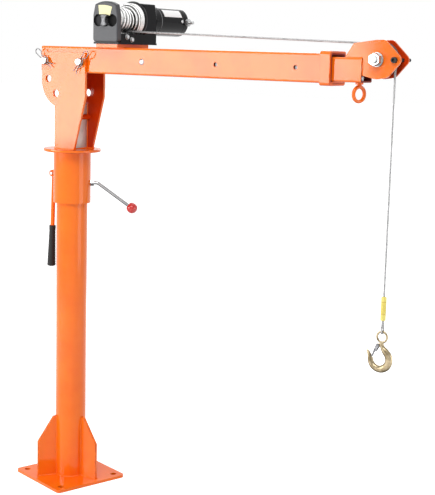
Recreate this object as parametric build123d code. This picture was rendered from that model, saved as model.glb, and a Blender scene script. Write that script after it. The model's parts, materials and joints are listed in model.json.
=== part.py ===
from build123d import *
import os
from math import asin, atan2, cos, degrees, hypot, radians, sin, sqrt

# Pickup truck crane: a bolted post, a head that swivels on it, a telescopic boom and an electric winch.
# Millimetres. Z is up, the boom points along +X, and the origin is the centre of the base plate's underside.

# Base plate, gussets and post
BASE_SIDE = 226.0
BASE_THICKNESS = 8.0
BASE_CORNER = 12.0
BASE_TURN = -17.0
BASE_HOLE = 17.0
BASE_HOLE_INSET = 24.0
GUSSET_THICKNESS = 8.0
GUSSET_HEIGHT = 173.0
GUSSET_EDGE_HEIGHT = 102.0
GUSSET_TOP = 9.0
GUSSET_INSET = 15.0
GUSSET_COUNT = 3
GUSSET_TURN = 135.0
POST_DIAMETER = 86.0
POST_WALL = 5.0
POST_CAP = 6.0

# Swivel sleeve that turns on the post
SLEEVE_DIAMETER = 103.0
SLEEVE_WALL = 6.0
SLEEVE_LENGTH = 142.0
FLANGE_DIAMETER = 158.0
FLANGE_THICKNESS = 8.0
BUSH_LENGTH = 30.0
BUSH_END_GAP = 3.0
THRUST_WASHER = 3.0
RUNNING_FIT = 0.05
CLEARANCE = 0.3

# Head: two cheeks on the flange carry the boom
HEAD_HEIGHT = 243.0
CHEEK_THICKNESS = 8.0
CHEEK_REAR = -73.5
CHEEK_FRONT = 78.5
CHEEK_TOP_DROP = 16.0
CHEEK_ARC_RADIUS = 74.0
CHEEK_ARC_DROP = 58.0
CHEEK_NECK_REAR = -27.5
CHEEK_NECK_FRONT = 41.0
CHEEK_SLOPE_DROP = 101.0
CHEEK_CORNER = 5.0
WEB_FRONT = 23.0
WEB_THICKNESS = 8.0
WEB_HEIGHT = 122.0
CROSS_BAR = 14.0
CROSS_BAR_HEIGHT = 87.0
FAR_HOLE_X = 24.0
FAR_HOLE_DROP = 90.0

# Boom, outer and inner tube
BOOM_HEIGHT = 1188.0
BOOM_WIDTH = 70.0
BOOM_WALL = 4.0
BOOM_CORNER = 5.0
BOOM_REAR = -82.0
BOOM_FRONT = 815.0
BOOM_SIDE_GAP = 0.5
COLLAR_LENGTH = 28.0
COLLAR_WALL = 6.0
INNER_WIDTH = 58.0
INNER_WALL = 4.0
INNER_LENGTH = 560.0
INNER_REACH = 76.0
TUBE_BORE_CORNER = 1.5
ADJUST_HOLE_FIRST = 260.0
ADJUST_HOLE_PITCH = 229.5
ADJUST_HOLE_REAR = 16.0
ADJUST_HOLE = 11.0

# Pins through cheeks and boom
PIN_DIAMETER = 20.0
PIN_HOLE_GAP = 0.2
PIN_DROP = 5.5
PIVOT_PIN_INSET = 16.5
TILT_PIN_RADIUS = 122.0
TILT_ANGLES = (0.0, 23.0, 45.5)
PIN_HEAD = 30.0
PIN_HEAD_THICKNESS = 6.0
PIN_TAIL = 13.0
CLIP_WIRE = 2.6
CLIP_FROM_TAIL = 6.0
CLIP_LEG = 30.0
CLIP_BACK = 40.0
CLIP_LOOP = 15.0
TILT_CLIP_ANGLE = -35.0
PIVOT_CLIP_ANGLE = -125.0

# Boom tip: cheeks, sheave, axle, rope keeper, eye bolt
TIP_CHEEK_THICKNESS = 6.0
TIP_ROUND = 45.0
TIP_NOSE = 14.5
TIP_UPPER_CORNER = (15.0, 35.5, 10.0)
TIP_LOWER_CORNER = (20.0, -26.0, 16.0)
TIP_TAIL_CORNER = (-57.0, 30.0, 7.0)
TIP_REAR_CORNER = (-75.0, 5.0, 6.0)
TIP_FOOT_CORNER = (-70.0, -24.0, 6.0)
SHEAVE_AHEAD = 37.0
SHEAVE_RISE = 24.0
SHEAVE_PITCH_RADIUS = 36.0
SHEAVE_RIM = 4.0
SHEAVE_WIDTH = 24.0
SHEAVE_HUB = 20.0
AXLE_DIAMETER = 18.0
AXLE_HEX = 27.0
AXLE_HEAD = 11.5
AXLE_NUT = 15.0
AXLE_WASHER = 34.0
AXLE_WASHER_THICKNESS = 3.0
AXLE_TAIL = 4.0
SHEAVE_BUSH_WALL = 3.0
KEEPER_AHEAD = 45.0
KEEPER_DIAMETER = 8.0
KEEPER_HEAD = 14.0
KEEPER_HEAD_LENGTH = 8.0
KEEPER_NUT = 13.0
KEEPER_NUT_LENGTH = 6.5
KEEPER_TAIL = 32.0
EYE_BACK = 17.4
EYE_RADIUS = 17.3
EYE_WIRE = 9.0
EYE_DROP = 27.5
EYE_SHANK = 12.0
EYE_TURN = -20.0
EYE_NUT = 19.0
EYE_NUT_HEIGHT = 10.0
EYE_TAIL = 3.0

# Winch on the boom
WINCH_X = 170.0
WINCH_RISE = 73.5
WINCH_PLATE_WIDTH = 70.0
WINCH_PLATE_LENGTH = 136.0
WINCH_PLATE_THICKNESS = 9.0
TRAY_THICKNESS = 5.0
TRAY_LIP = 22.0
TRAY_LIP_WALL = 4.0
HOUSING_WIDTH = 82.0
HOUSING_SHOULDER = 70.0
HOUSING_SIDE_RISE = 10.0
HOUSING_TOP_RISE = 45.0
HOUSING_EDGE = 4.0
GEARBOX_FACE = -75.0
GEARBOX_DEPTH = 15.0
GEARBOX_SHOULDER_RISE = 36.5
GEARBOX_FOOT_CORNER = 8.0
HOLLOW_DIAMETER = 32.0
HOLLOW_OFFSET = 22.0
HOLLOW_DEPTH = 6.0
CLUTCH_DROP = 4.0
KNOB_DIAMETER = 30.0
KNOB_GAP = 1.0
KNOB_LENGTH = 15.0
KNOB_WAIST = 11.0
KNOB_GRIP_RADIUS = 14.0
KNOB_EDGE = 2.0
KNOB_STEM = 10.0
KNOB_STEM_LENGTH = 2.5
DRUM_END_GAP = 1.0
DRUM_LENGTH = 103.0
DRUM_CORE = 48.0
DRUM_NEAR_FLANGE = 72.0
DRUM_FAR_FLANGE = 99.0
DRUM_FLANGE_THICKNESS = 3.0
DRUM_JOURNAL = 24.0
DRUM_JOURNAL_LENGTH = 4.0
DRUM_BUSH_WALL = 3.0
WOUND_NEAR = 62.0
WOUND_LEAVING = 54.0
WOUND_FAR = 90.0
WOUND_LANE = 10.0
WOUND_STEP = 4.0
WOUND_SLOPE = 14.0
SUPPORT_DEPTH = 53.0
SUPPORT_SHOULDER_RISE = 42.5
MOTOR_DIAMETER = 79.0
MOTOR_LENGTH = 132.0
MOTOR_RING = 1.5
MOTOR_RING_LENGTH = 6.0
MOTOR_CAP_LENGTH = 28.0
MOTOR_CAP_CHAMFER = 9.0
TERMINAL_STUD = 8.0
TERMINAL_REACH = 23.5
TERMINAL_NUT = 18.0
TERMINAL_NUT_LENGTH = 4.0
TERMINAL_NUT_GAP = 2.0
WINCH_BOLT = 8.0
WINCH_BOLT_SINK = 16.0
WINCH_BOLT_SINK_DEPTH = 4.0
WINCH_BOLT_SPAN_X = 48.0
WINCH_BOLT_Y = (-48.0, 58.0)
WINCH_BOLT_GRIP = 14.0
WINCH_BOLT_TAIL = 1.5
WINCH_NUT = 13.0
WINCH_NUT_HEIGHT = 6.5
TRAY_SCREW_HEX = 10.0
TRAY_SCREW_HEAD = 5.0
TRAY_SCREW_PLACES = ((-35.0, 14.0), (-15.0, 7.5))

# Wire rope and hook
ROPE_DIAMETER = 5.0
ROPE_DROP_LENGTH = 557.0
ROPE_SLEEVE_LENGTH = 58.0
ROPE_SLEEVE_DIAMETER = 13.0
ROPE_EYE_RADIUS = 5.5
ROPE_EYE_WIRE = 4.4
ROPE_EYE_LENGTH = 32.9
HOOK_EYE_RADIUS = 12.9
HOOK_EYE_WIRE = 5.6
BOWL_RADIUS = 24.5
BOWL_DROP = 55.0
BOWL_BACK = 4.0
HOOK_DEPTH = 14.0
HOOK_NECK = 9.0
HOOK_SHOULDER = 10.0
HOOK_THROAT = 13.0
HOOK_BULGE = 6.5
HOOK_TIP = (-33.0, -44.0)
HOOK_TIP_WIDTH = 8.0
HOOK_POINT = (-38.0, -36.0)
HOOK_POINT_WIDTH = 3.5
LATCH_PIVOT = (-9.5, -21.0)
LATCH_LENGTH = 32.5
LATCH_ANGLE = 19.4
LATCH_SHEET = 1.6
LATCH_WIDTH = 10.0
LATCH_PIN = 4.0
LATCH_PIN_END = 1.0
LATCH_LUG = 9.0
LATCH_LUG_WIDTH = 5.6

# Swing handle and lock lever on the sleeve
HANDLE_PIVOT_OUT = 14.5
HANDLE_PIVOT_RISE = 76.0
HANDLE_ROD = 12.0
HANDLE_EYE = 18.0
HANDLE_PIN = 8.0
HANDLE_DROP = 266.0
HANDLE_LEAN = 1.9
GRIP_LENGTH = 117.0
GRIP_TOP = 17.0
GRIP_BOTTOM = 24.0
GRIP_BUTT = 5.0
EAR_THICKNESS = 5.0
LOCK_RISE = 55.0
LOCK_ANGLE = 35.0
LOCK_ROD = 10.0
LOCK_NUT_HEX = 17.0
LOCK_NUT_LENGTH = 9.0
LOCK_BEND_OUT = 19.5
LOCK_ARM_REACH = 96.0
LOCK_DROP = 69.0
LOCK_BEND_RADIUS = 18.0
BALL_DIAMETER = 31.0
BALL_FLAT = 13.5

# Places that follow from the sizes above
POST_RADIUS = POST_DIAMETER / 2
SLEEVE_RADIUS = SLEEVE_DIAMETER / 2
SLEEVE_BORE = SLEEVE_RADIUS - SLEEVE_WALL
HEAD_FLOOR = BOOM_HEIGHT - HEAD_HEIGHT
SLEEVE_TOP = HEAD_FLOOR - FLANGE_THICKNESS
SLEEVE_BOTTOM = SLEEVE_TOP - SLEEVE_LENGTH
POST_TOP = SLEEVE_TOP - THRUST_WASHER
BOOM_HALF = BOOM_WIDTH / 2
BOOM_TOP = BOOM_HEIGHT + BOOM_HALF
CHEEK_INNER = BOOM_HALF + BOOM_SIDE_GAP
CHEEK_OUTER = CHEEK_INNER + CHEEK_THICKNESS
PIVOT_PIN_X = CHEEK_FRONT - PIVOT_PIN_INSET
PIN_Z = BOOM_HEIGHT - PIN_DROP
PIN_HOLE = PIN_DIAMETER / 2 + PIN_HOLE_GAP
INNER_HALF = INNER_WIDTH / 2
INNER_Z = BOOM_HEIGHT - (BOOM_HALF - BOOM_WALL - INNER_HALF) + CLEARANCE
INNER_FRONT = BOOM_FRONT + INNER_REACH
INNER_REAR = INNER_FRONT - INNER_LENGTH
EYE_X = INNER_FRONT - EYE_BACK
SHEAVE_X = INNER_FRONT + SHEAVE_AHEAD
SHEAVE_Z = BOOM_HEIGHT + SHEAVE_RISE
TIP_OUTER = INNER_HALF - INNER_WALL
TIP_INNER = TIP_OUTER - TIP_CHEEK_THICKNESS
ROPE_RADIUS = ROPE_DIAMETER / 2
PLATE_TOP = BOOM_TOP + WINCH_PLATE_THICKNESS
TRAY_TOP = PLATE_TOP + TRAY_THICKNESS
WINCH_Z = BOOM_TOP + WINCH_RISE
CLUTCH_Z = WINCH_Z - CLUTCH_DROP
GEARBOX_BACK = GEARBOX_FACE + GEARBOX_DEPTH
DRUM_NEAR = GEARBOX_BACK + DRUM_END_GAP
DRUM_FAR = DRUM_NEAR + DRUM_LENGTH
SUPPORT_FACE = DRUM_FAR + DRUM_END_GAP
MOTOR_FACE = SUPPORT_FACE + SUPPORT_DEPTH
MOTOR_END = MOTOR_FACE + MOTOR_LENGTH
ROPE_LEAVING_RADIUS = WOUND_LEAVING / 2 + ROPE_RADIUS + CLEARANCE
ROPE_DROP_X = SHEAVE_X + SHEAVE_PITCH_RADIUS
ROPE_SLEEVE_TOP = SHEAVE_Z - ROPE_DROP_LENGTH
ROPE_SLEEVE_BOTTOM = ROPE_SLEEVE_TOP - ROPE_SLEEVE_LENGTH
ROPE_EYE_BOTTOM = ROPE_SLEEVE_BOTTOM - ROPE_EYE_LENGTH
HOOK_EYE_Z = ROPE_EYE_BOTTOM + ROPE_EYE_WIRE / 2 + CLEARANCE + HOOK_EYE_WIRE / 2 - HOOK_EYE_RADIUS
KEEPER_X = SHEAVE_X + KEEPER_AHEAD
HANDLE_PIVOT_X = -SLEEVE_RADIUS - HANDLE_PIVOT_OUT
HANDLE_PIVOT_Z = SLEEVE_BOTTOM + HANDLE_PIVOT_RISE
LOCK_HEIGHT = SLEEVE_BOTTOM + LOCK_RISE
LOCK_BEND_AT = SLEEVE_RADIUS + LOCK_BEND_OUT
LOCK_REACH = LOCK_BEND_AT + LOCK_ARM_REACH


def rod(radius, start, end):
    """A round bar between two points."""
    run = Vector(end) - Vector(start)
    return extrude(Plane(origin=start, z_dir=run) * Circle(radius), run.length)


def ring(outer, inner, start, end):
    """A round tube between two points."""
    return rod(outer, start, end) - rod(inner, start, end)


def hex_bar(across_flats, start, end):
    """A hexagonal bar between two points."""
    run = Vector(end) - Vector(start)
    section = RegularPolygon(across_flats / 2, 6, major_radius=False)
    return extrude(Plane(origin=start, z_dir=run) * section, run.length)


def block(x_low, x_high, y_low, y_high, z_low, z_high):
    """A box between two corners."""
    middle = ((x_low + x_high) / 2, (y_low + y_high) / 2, (z_low + z_high) / 2)
    return Pos(*middle) * Box(x_high - x_low, y_high - y_low, z_high - z_low)


def side_plane(y):
    """A drawing plane at y that looks along +Y: its axes are X and Z."""
    return Plane(origin=(0, y, 0), x_dir=(1, 0, 0), z_dir=(0, -1, 0))


def side_plate(outline, y_low, y_high):
    """A plate parallel to the boom's side, with its outline drawn in X and Z."""
    return extrude(side_plane(y_high) * outline, y_high - y_low)


def square_tube(width, wall, corner, x_start, x_end, z):
    """A square tube along X."""
    bore = width - 2 * wall
    section = RectangleRounded(width, width, corner) - RectangleRounded(bore, bore, TUBE_BORE_CORNER)
    plane = Plane(origin=(x_start, 0, z), x_dir=(0, 1, 0), z_dir=(1, 0, 0))
    return extrude(plane * section, x_end - x_start)


def cross_hole(radius, x, z, half_width):
    """A cutter along Y."""
    return rod(radius, (x, -half_width, z), (x, half_width, z))


def wire(path_points, radii, plane, radius):
    """A bent round wire: straight runs joined by tangent arcs, drawn on a plane."""
    path = plane * FilletPolyline(*path_points, radius=radii)
    return sweep(Plane(origin=path @ 0, z_dir=path % 0) * Circle(radius), path)


# Base


def base_hole_places():
    """Centres of the four bolt holes in the plate's own axes."""
    reach = BASE_SIDE / 2 - BASE_HOLE_INSET
    return [(sx * reach, sy * reach) for sx in (-1, 1) for sy in (-1, 1)]


def base_plate():
    sketch = RectangleRounded(BASE_SIDE, BASE_SIDE, BASE_CORNER)
    for x, y in base_hole_places():
        sketch -= Pos(x, y) * Circle(BASE_HOLE / 2)
    return Rot(0, 0, BASE_TURN) * extrude(sketch, BASE_THICKNESS)


def base_gussets():
    """Upright plates round the post, the first of them on a diagonal of the base plate."""
    reach = BASE_SIDE / 2 - GUSSET_INSET
    outline = Polyline(
        (0, 0),
        (reach, 0),
        (reach, GUSSET_EDGE_HEIGHT),
        (POST_RADIUS + GUSSET_TOP, GUSSET_HEIGHT),
        (0, GUSSET_HEIGHT),
        close=True,
    )
    half = GUSSET_THICKNESS / 2
    plate = Pos(0, 0, BASE_THICKNESS) * side_plate(make_face(outline), -half, half)
    plate -= rod(POST_RADIUS, (0, 0, 0), (0, 0, POST_TOP))
    first = BASE_TURN + GUSSET_TURN
    return [Rot(0, 0, first + 360 / GUSSET_COUNT * step) * plate for step in range(GUSSET_COUNT)]


def post_tube():
    foot = (0, 0, BASE_THICKNESS)
    return ring(POST_RADIUS, POST_RADIUS - POST_WALL, foot, (0, 0, POST_TOP - POST_CAP))


def post_cap():
    return rod(POST_RADIUS, (0, 0, POST_TOP - POST_CAP), (0, 0, POST_TOP))


# Swivel head


def thrust_washer():
    return rod(POST_RADIUS, (0, 0, POST_TOP), (0, 0, SLEEVE_TOP))


def lock_direction():
    """The lock lever's axis, out of the sleeve."""
    return Vector(cos(radians(LOCK_ANGLE)), sin(radians(LOCK_ANGLE)), 0)


def lock_point(reach, height=0.0):
    """A point on the lock lever's plane, by its reach from the post's axis."""
    return lock_direction() * reach + Vector(0, 0, LOCK_HEIGHT + height)


def swivel_sleeve():
    sleeve = ring(SLEEVE_RADIUS, SLEEVE_BORE, (0, 0, SLEEVE_BOTTOM), (0, 0, SLEEVE_TOP))
    return sleeve - rod(LOCK_ROD / 2 + RUNNING_FIT, lock_point(0), lock_point(SLEEVE_DIAMETER))


def swivel_bushes():
    lower = SLEEVE_BOTTOM + BUSH_END_GAP
    upper = SLEEVE_TOP - BUSH_END_GAP - BUSH_LENGTH
    bore = POST_RADIUS + RUNNING_FIT
    return [ring(SLEEVE_BORE, bore, (0, 0, z), (0, 0, z + BUSH_LENGTH)) for z in (lower, upper)]


def sleeve_flange():
    return rod(FLANGE_DIAMETER / 2, (0, 0, SLEEVE_TOP), (0, 0, HEAD_FLOOR))


def tilt_hole_places():
    """The holes for the rear pin, on an arc about the pivot pin."""
    return [
        (
            PIVOT_PIN_X - TILT_PIN_RADIUS * cos(radians(angle)),
            PIN_Z - TILT_PIN_RADIUS * sin(radians(angle)),
        )
        for angle in TILT_ANGLES
    ]


def cheek_outline():
    """Wide at the boom with a round rear, narrow at the flange with a sloping front."""
    top = BOOM_TOP - CHEEK_TOP_DROP
    arc_z = BOOM_HEIGHT - CHEEK_ARC_DROP
    arc_x = CHEEK_REAR + CHEEK_ARC_RADIUS
    neck = CHEEK_NECK_REAR - arc_x
    arc_foot = -sqrt(CHEEK_ARC_RADIUS**2 - neck**2)
    sweep_angle = degrees(atan2(arc_foot, neck)) + 180
    edges = Polyline(
        (CHEEK_NECK_REAR, arc_z + arc_foot),
        (CHEEK_NECK_REAR, HEAD_FLOOR),
        (CHEEK_NECK_FRONT, HEAD_FLOOR),
        (CHEEK_FRONT, BOOM_HEIGHT - CHEEK_SLOPE_DROP),
        (CHEEK_FRONT, top),
        (CHEEK_REAR, top),
        (CHEEK_REAR, arc_z),
    )
    face = make_face(edges + CenterArc((arc_x, arc_z), CHEEK_ARC_RADIUS, 180, sweep_angle))
    return fillet(face.vertices().sort_by(Axis.Y)[-2:], CHEEK_CORNER)


def head_cheek(side):
    """One cheek: side is -1 at the winch's gear case and 1 at its motor, where it has one more hole."""
    faces = sorted((side * CHEEK_INNER, side * CHEEK_OUTER))
    cheek = side_plate(cheek_outline(), *faces)
    for x, z in tilt_hole_places() + [(PIVOT_PIN_X, PIN_Z)]:
        cheek -= cross_hole(PIN_HOLE, x, z, CHEEK_OUTER)
    if side > 0:
        cheek -= cross_hole(PIN_HOLE, FAR_HOLE_X, BOOM_HEIGHT - FAR_HOLE_DROP, CHEEK_OUTER)
    return cheek


def head_web():
    return block(
        WEB_FRONT - WEB_THICKNESS,
        WEB_FRONT,
        -CHEEK_INNER,
        CHEEK_INNER,
        HEAD_FLOOR,
        HEAD_FLOOR + WEB_HEIGHT,
    )


def head_cross_bar():
    radius = CROSS_BAR / 2
    return cross_hole(radius, WEB_FRONT + radius, HEAD_FLOOR + CROSS_BAR_HEIGHT, CHEEK_INNER)


def clip_y():
    """The plane of the spring clips, in the pins' tails."""
    return -CHEEK_OUTER - PIN_TAIL + CLIP_FROM_TAIL


def boom_pin(x, z, clip_turn):
    """A headed pin with a cross hole in its tail for a spring clip."""
    pin = rod(PIN_DIAMETER / 2, (x, -CHEEK_OUTER - PIN_TAIL, z), (x, CHEEK_OUTER, z))
    pin = chamfer(pin.edges().sort_by(Axis.Y)[0], PIN_DIAMETER / 8)
    pin += rod(PIN_HEAD / 2, (x, CHEEK_OUTER, z), (x, CHEEK_OUTER + PIN_HEAD_THICKNESS, z))
    turn = radians(clip_turn)
    reach = Vector(cos(turn), 0, sin(turn)) * PIN_DIAMETER
    centre = Vector(x, clip_y(), z)
    return pin - rod(CLIP_WIRE / 2 + RUNNING_FIT, centre - reach, centre + reach)


def spring_clip(x, z, clip_turn):
    """A spring clip: a straight leg through the pin, a loop and a waved leg over the pin."""
    over = PIN_DIAMETER / 2 + CLIP_WIRE / 2 + CLEARANCE
    points = (
        (CLIP_LEG, 0),
        (-CLIP_BACK, 0),
        (-CLIP_BACK, CLIP_LOOP),
        (1.1 * CLIP_LOOP - CLIP_BACK, CLIP_LOOP),
        (-0.75 * PIN_DIAMETER, 0.45 * over),
        (-0.3 * PIN_DIAMETER, over),
        (0.3 * PIN_DIAMETER, over),
        (0.75 * PIN_DIAMETER, 0.45 * over),
        (CLIP_LEG, over),
    )
    bend = 0.25 * PIN_DIAMETER
    end = 0.48 * CLIP_LOOP
    radii = [end, end, bend, bend, bend / 2, bend / 2, bend]
    turn = radians(clip_turn)
    along = Vector(cos(turn), 0, sin(turn))
    plane = Plane(origin=(x, clip_y(), z), x_dir=along, z_dir=(0, -1, 0))
    return wire(points, radii, plane, CLIP_WIRE / 2)


def pin_places():
    """Each pin's place and the turn of its clip."""
    rear_x, rear_z = tilt_hole_places()[0]
    return {
        "tilt": (rear_x, rear_z, TILT_CLIP_ANGLE),
        "pivot": (PIVOT_PIN_X, PIN_Z, PIVOT_CLIP_ANGLE),
    }


# Boom


def adjust_holes():
    """The boom's adjusting holes: place and diameter."""
    places = [ADJUST_HOLE_FIRST + step * ADJUST_HOLE_PITCH for step in range(3)]
    return list(zip(places, (ADJUST_HOLE_REAR, ADJUST_HOLE, ADJUST_HOLE)))


def outer_boom():
    tube = square_tube(BOOM_WIDTH, BOOM_WALL, BOOM_CORNER, BOOM_REAR, BOOM_FRONT, BOOM_HEIGHT)
    for x, diameter in adjust_holes():
        tube -= cross_hole(diameter / 2, x, BOOM_HEIGHT, BOOM_WIDTH)
    for x, z, _ in pin_places().values():
        tube -= cross_hole(PIN_HOLE, x, z, BOOM_WIDTH)
    return tube


def boom_collar():
    width = BOOM_WIDTH + 2 * COLLAR_WALL
    section = RectangleRounded(width, width, BOOM_CORNER + COLLAR_WALL / 2)
    section -= RectangleRounded(BOOM_WIDTH, BOOM_WIDTH, BOOM_CORNER)
    plane = Plane(origin=(BOOM_FRONT - COLLAR_LENGTH, 0, BOOM_HEIGHT), x_dir=(0, 1, 0), z_dir=(1, 0, 0))
    return extrude(plane * section, COLLAR_LENGTH)


def tip_tail_x():
    """The rear end of the tip cheeks, where the inner boom's top wall is cut away for them."""
    ahead, _, radius = TIP_REAR_CORNER
    return SHEAVE_X + ahead - radius


def inner_boom():
    tube = square_tube(INNER_WIDTH, INNER_WALL, BOOM_CORNER, INNER_REAR, INNER_FRONT, INNER_Z)
    for x, diameter in adjust_holes()[1:]:
        tube -= cross_hole(diameter / 2, x, BOOM_HEIGHT, INNER_WIDTH)
    roof = INNER_Z + INNER_HALF
    tube -= block(tip_tail_x(), INNER_FRONT, -TIP_OUTER, TIP_OUTER, roof - 2 * INNER_WALL, roof)
    floor = INNER_Z - INNER_HALF
    hole = rod(EYE_SHANK / 2 + CLEARANCE, (EYE_X, 0, floor), (EYE_X, 0, floor + 2 * INNER_WALL))
    return tube - hole


# Boom tip


def tip_cheek_outline():
    """The outline drawn tight round circles at the axle, the nose and five corners."""
    circles = (
        (0, 0, TIP_ROUND),
        (KEEPER_AHEAD, 0, TIP_NOSE),
        TIP_UPPER_CORNER,
        TIP_LOWER_CORNER,
        TIP_TAIL_CORNER,
        TIP_REAR_CORNER,
        TIP_FOOT_CORNER,
    )
    rims = ShapeList()
    for ahead, up, radius in circles:
        rims += (Pos(SHEAVE_X + ahead, SHEAVE_Z + up) * Circle(radius)).edges()
    return make_hull(rims)


def tip_cheek(side):
    faces = sorted((side * TIP_INNER, side * TIP_OUTER))
    cheek = side_plate(tip_cheek_outline(), *faces)
    cheek -= cross_hole(AXLE_DIAMETER / 2, SHEAVE_X, SHEAVE_Z, TIP_OUTER)
    return cheek - cross_hole(KEEPER_DIAMETER / 2, KEEPER_X, SHEAVE_Z, TIP_OUTER)


def sheave_bore():
    return AXLE_DIAMETER / 2 + SHEAVE_BUSH_WALL


def sheave():
    """A grooved pulley with a raised hub and dished sides."""
    half = SHEAVE_WIDTH / 2
    hub_half = TIP_INNER - CLEARANCE
    web_half = SHEAVE_WIDTH / 4
    hub = SHEAVE_HUB
    rim = SHEAVE_PITCH_RADIUS + SHEAVE_RIM
    groove = ROPE_RADIUS + CLEARANCE
    dish = SHEAVE_PITCH_RADIUS - 2 * groove
    side = [
        (sheave_bore(), hub_half),
        (hub, hub_half),
        (hub + hub_half - web_half, web_half),
        (dish - half + web_half, web_half),
        (dish, half),
        (rim, half),
        (rim, half - groove),
        (SHEAVE_PITCH_RADIUS, groove),
    ]
    upper = Polyline(*side)
    lower = Polyline(*[(r, -y) for r, y in side])
    root = ThreePointArc(side[-1], (SHEAVE_PITCH_RADIUS - groove, 0), (side[-1][0], -side[-1][1]))
    bore = Line((sheave_bore(), -hub_half), (sheave_bore(), hub_half))
    plane = Plane(origin=(SHEAVE_X, 0, SHEAVE_Z), x_dir=(1, 0, 0), z_dir=(0, 0, 1))
    profile = plane * make_face(upper + root + lower + bore)
    return revolve(profile, Axis((SHEAVE_X, 0, SHEAVE_Z), (0, 1, 0)))


def axle_point(y):
    return (SHEAVE_X, y, SHEAVE_Z)


def sheave_bush():
    half = TIP_INNER - CLEARANCE
    return ring(sheave_bore(), AXLE_DIAMETER / 2 + RUNNING_FIT, axle_point(-half), axle_point(half))


def axle_stack():
    """Distances from the middle of the tip to the outside of the washer and of the nut."""
    washer = TIP_OUTER + AXLE_WASHER_THICKNESS
    return washer, washer + AXLE_NUT


def sheave_axle():
    washer, nut = axle_stack()
    shank = rod(AXLE_DIAMETER / 2, axle_point(-nut - AXLE_TAIL), axle_point(washer))
    shank = chamfer(shank.edges().sort_by(Axis.Y)[0], AXLE_DIAMETER / 10)
    return shank + hex_bar(AXLE_HEX, axle_point(washer), axle_point(washer + AXLE_HEAD))


def axle_nut():
    washer, nut = axle_stack()
    body = hex_bar(AXLE_HEX, axle_point(-nut), axle_point(-washer))
    return body - rod(AXLE_DIAMETER / 2, axle_point(-nut), axle_point(-washer))


def axle_washers():
    washer = axle_stack()[0]
    washers = []
    for side in (-1, 1):
        ends = (axle_point(side * TIP_OUTER), axle_point(side * washer))
        washers.append(ring(AXLE_WASHER / 2, AXLE_DIAMETER / 2, *ends))
    return washers


def keeper_point(y):
    return (KEEPER_X, y, SHEAVE_Z)


def keeper_bolt():
    shank = rod(KEEPER_DIAMETER / 2, keeper_point(-TIP_OUTER), keeper_point(TIP_OUTER + KEEPER_TAIL))
    head = rod(KEEPER_HEAD / 2, keeper_point(-TIP_OUTER - KEEPER_HEAD_LENGTH), keeper_point(-TIP_OUTER))
    socket_end = keeper_point(-TIP_OUTER - KEEPER_HEAD_LENGTH / 2)
    socket = hex_bar(KEEPER_HEAD / 2, keeper_point(-TIP_OUTER - KEEPER_HEAD_LENGTH), socket_end)
    return shank + head - socket


def keeper_nut():
    ends = (keeper_point(TIP_OUTER), keeper_point(TIP_OUTER + KEEPER_NUT_LENGTH))
    return hex_bar(KEEPER_NUT, *ends) - rod(KEEPER_DIAMETER / 2, *ends)


def eye_bolt():
    """A lifting eye under the inner boom, where a doubled rope is made fast."""
    floor = INNER_Z - INNER_HALF
    eye_z = floor - EYE_DROP
    loop = Pos(EYE_X, 0, eye_z) * Rot(0, 0, EYE_TURN) * Rot(0, 90, 0) * Torus(EYE_RADIUS, EYE_WIRE / 2)
    shank_top = floor + INNER_WALL + EYE_NUT_HEIGHT + EYE_TAIL
    neck = rod(EYE_SHANK / 2, (EYE_X, 0, eye_z + EYE_RADIUS), (EYE_X, 0, shank_top))
    shoulder = rod(EYE_SHANK * 0.8, (EYE_X, 0, floor - EYE_WIRE / 2), (EYE_X, 0, floor))
    return loop + neck + shoulder


def eye_nut():
    floor = INNER_Z - INNER_HALF + INNER_WALL
    ends = ((EYE_X, 0, floor), (EYE_X, 0, floor + EYE_NUT_HEIGHT))
    return hex_bar(EYE_NUT, *ends) - rod(EYE_SHANK / 2, *ends)


# Winch


def winch_point(y):
    return (WINCH_X, y, WINCH_Z)


def clutch_point(y):
    return (WINCH_X, y, CLUTCH_Z)


def winch_bolt_places():
    half_x = WINCH_BOLT_SPAN_X / 2
    return [(WINCH_X + side * half_x, y) for side in (-1, 1) for y in WINCH_BOLT_Y]


def winch_bolt_shanks():
    """The four countersunk bolts without their nuts, which are also the cutters for their holes."""
    shanks = []
    for x, y in winch_bolt_places():
        grip = WINCH_BOLT_GRIP if y > 0 else WINCH_NUT_HEIGHT + WINCH_BOLT_TAIL
        head = Cone(WINCH_BOLT_SINK / 2, WINCH_BOLT / 2, WINCH_BOLT_SINK_DEPTH)
        shank = rod(WINCH_BOLT / 2, (x, y, BOOM_TOP), (x, y, TRAY_TOP + grip))
        shanks.append(shank + Pos(x, y, BOOM_TOP + WINCH_BOLT_SINK_DEPTH / 2) * head)
    return shanks


def winch_plate():
    half_x, half_y = WINCH_PLATE_WIDTH / 2, WINCH_PLATE_LENGTH / 2
    plate = block(WINCH_X - half_x, WINCH_X + half_x, -half_y, half_y, BOOM_TOP, PLATE_TOP)
    for bolt in winch_bolt_shanks():
        plate -= bolt
    return plate


def winch_tray():
    """The winch's base: a floor under both housings and two lips below the drum."""
    half = HOUSING_WIDTH / 2
    left, right = WINCH_X - half, WINCH_X + half
    tray = block(left, right, GEARBOX_FACE + HOUSING_EDGE, MOTOR_FACE, PLATE_TOP, TRAY_TOP)
    for x_low in (left, right - TRAY_LIP_WALL):
        lip = (x_low, x_low + TRAY_LIP_WALL, GEARBOX_BACK, SUPPORT_FACE)
        tray += block(*lip, TRAY_TOP, TRAY_TOP + TRAY_LIP)
    for bolt in winch_bolt_shanks():
        tray -= bolt
    return tray


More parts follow.
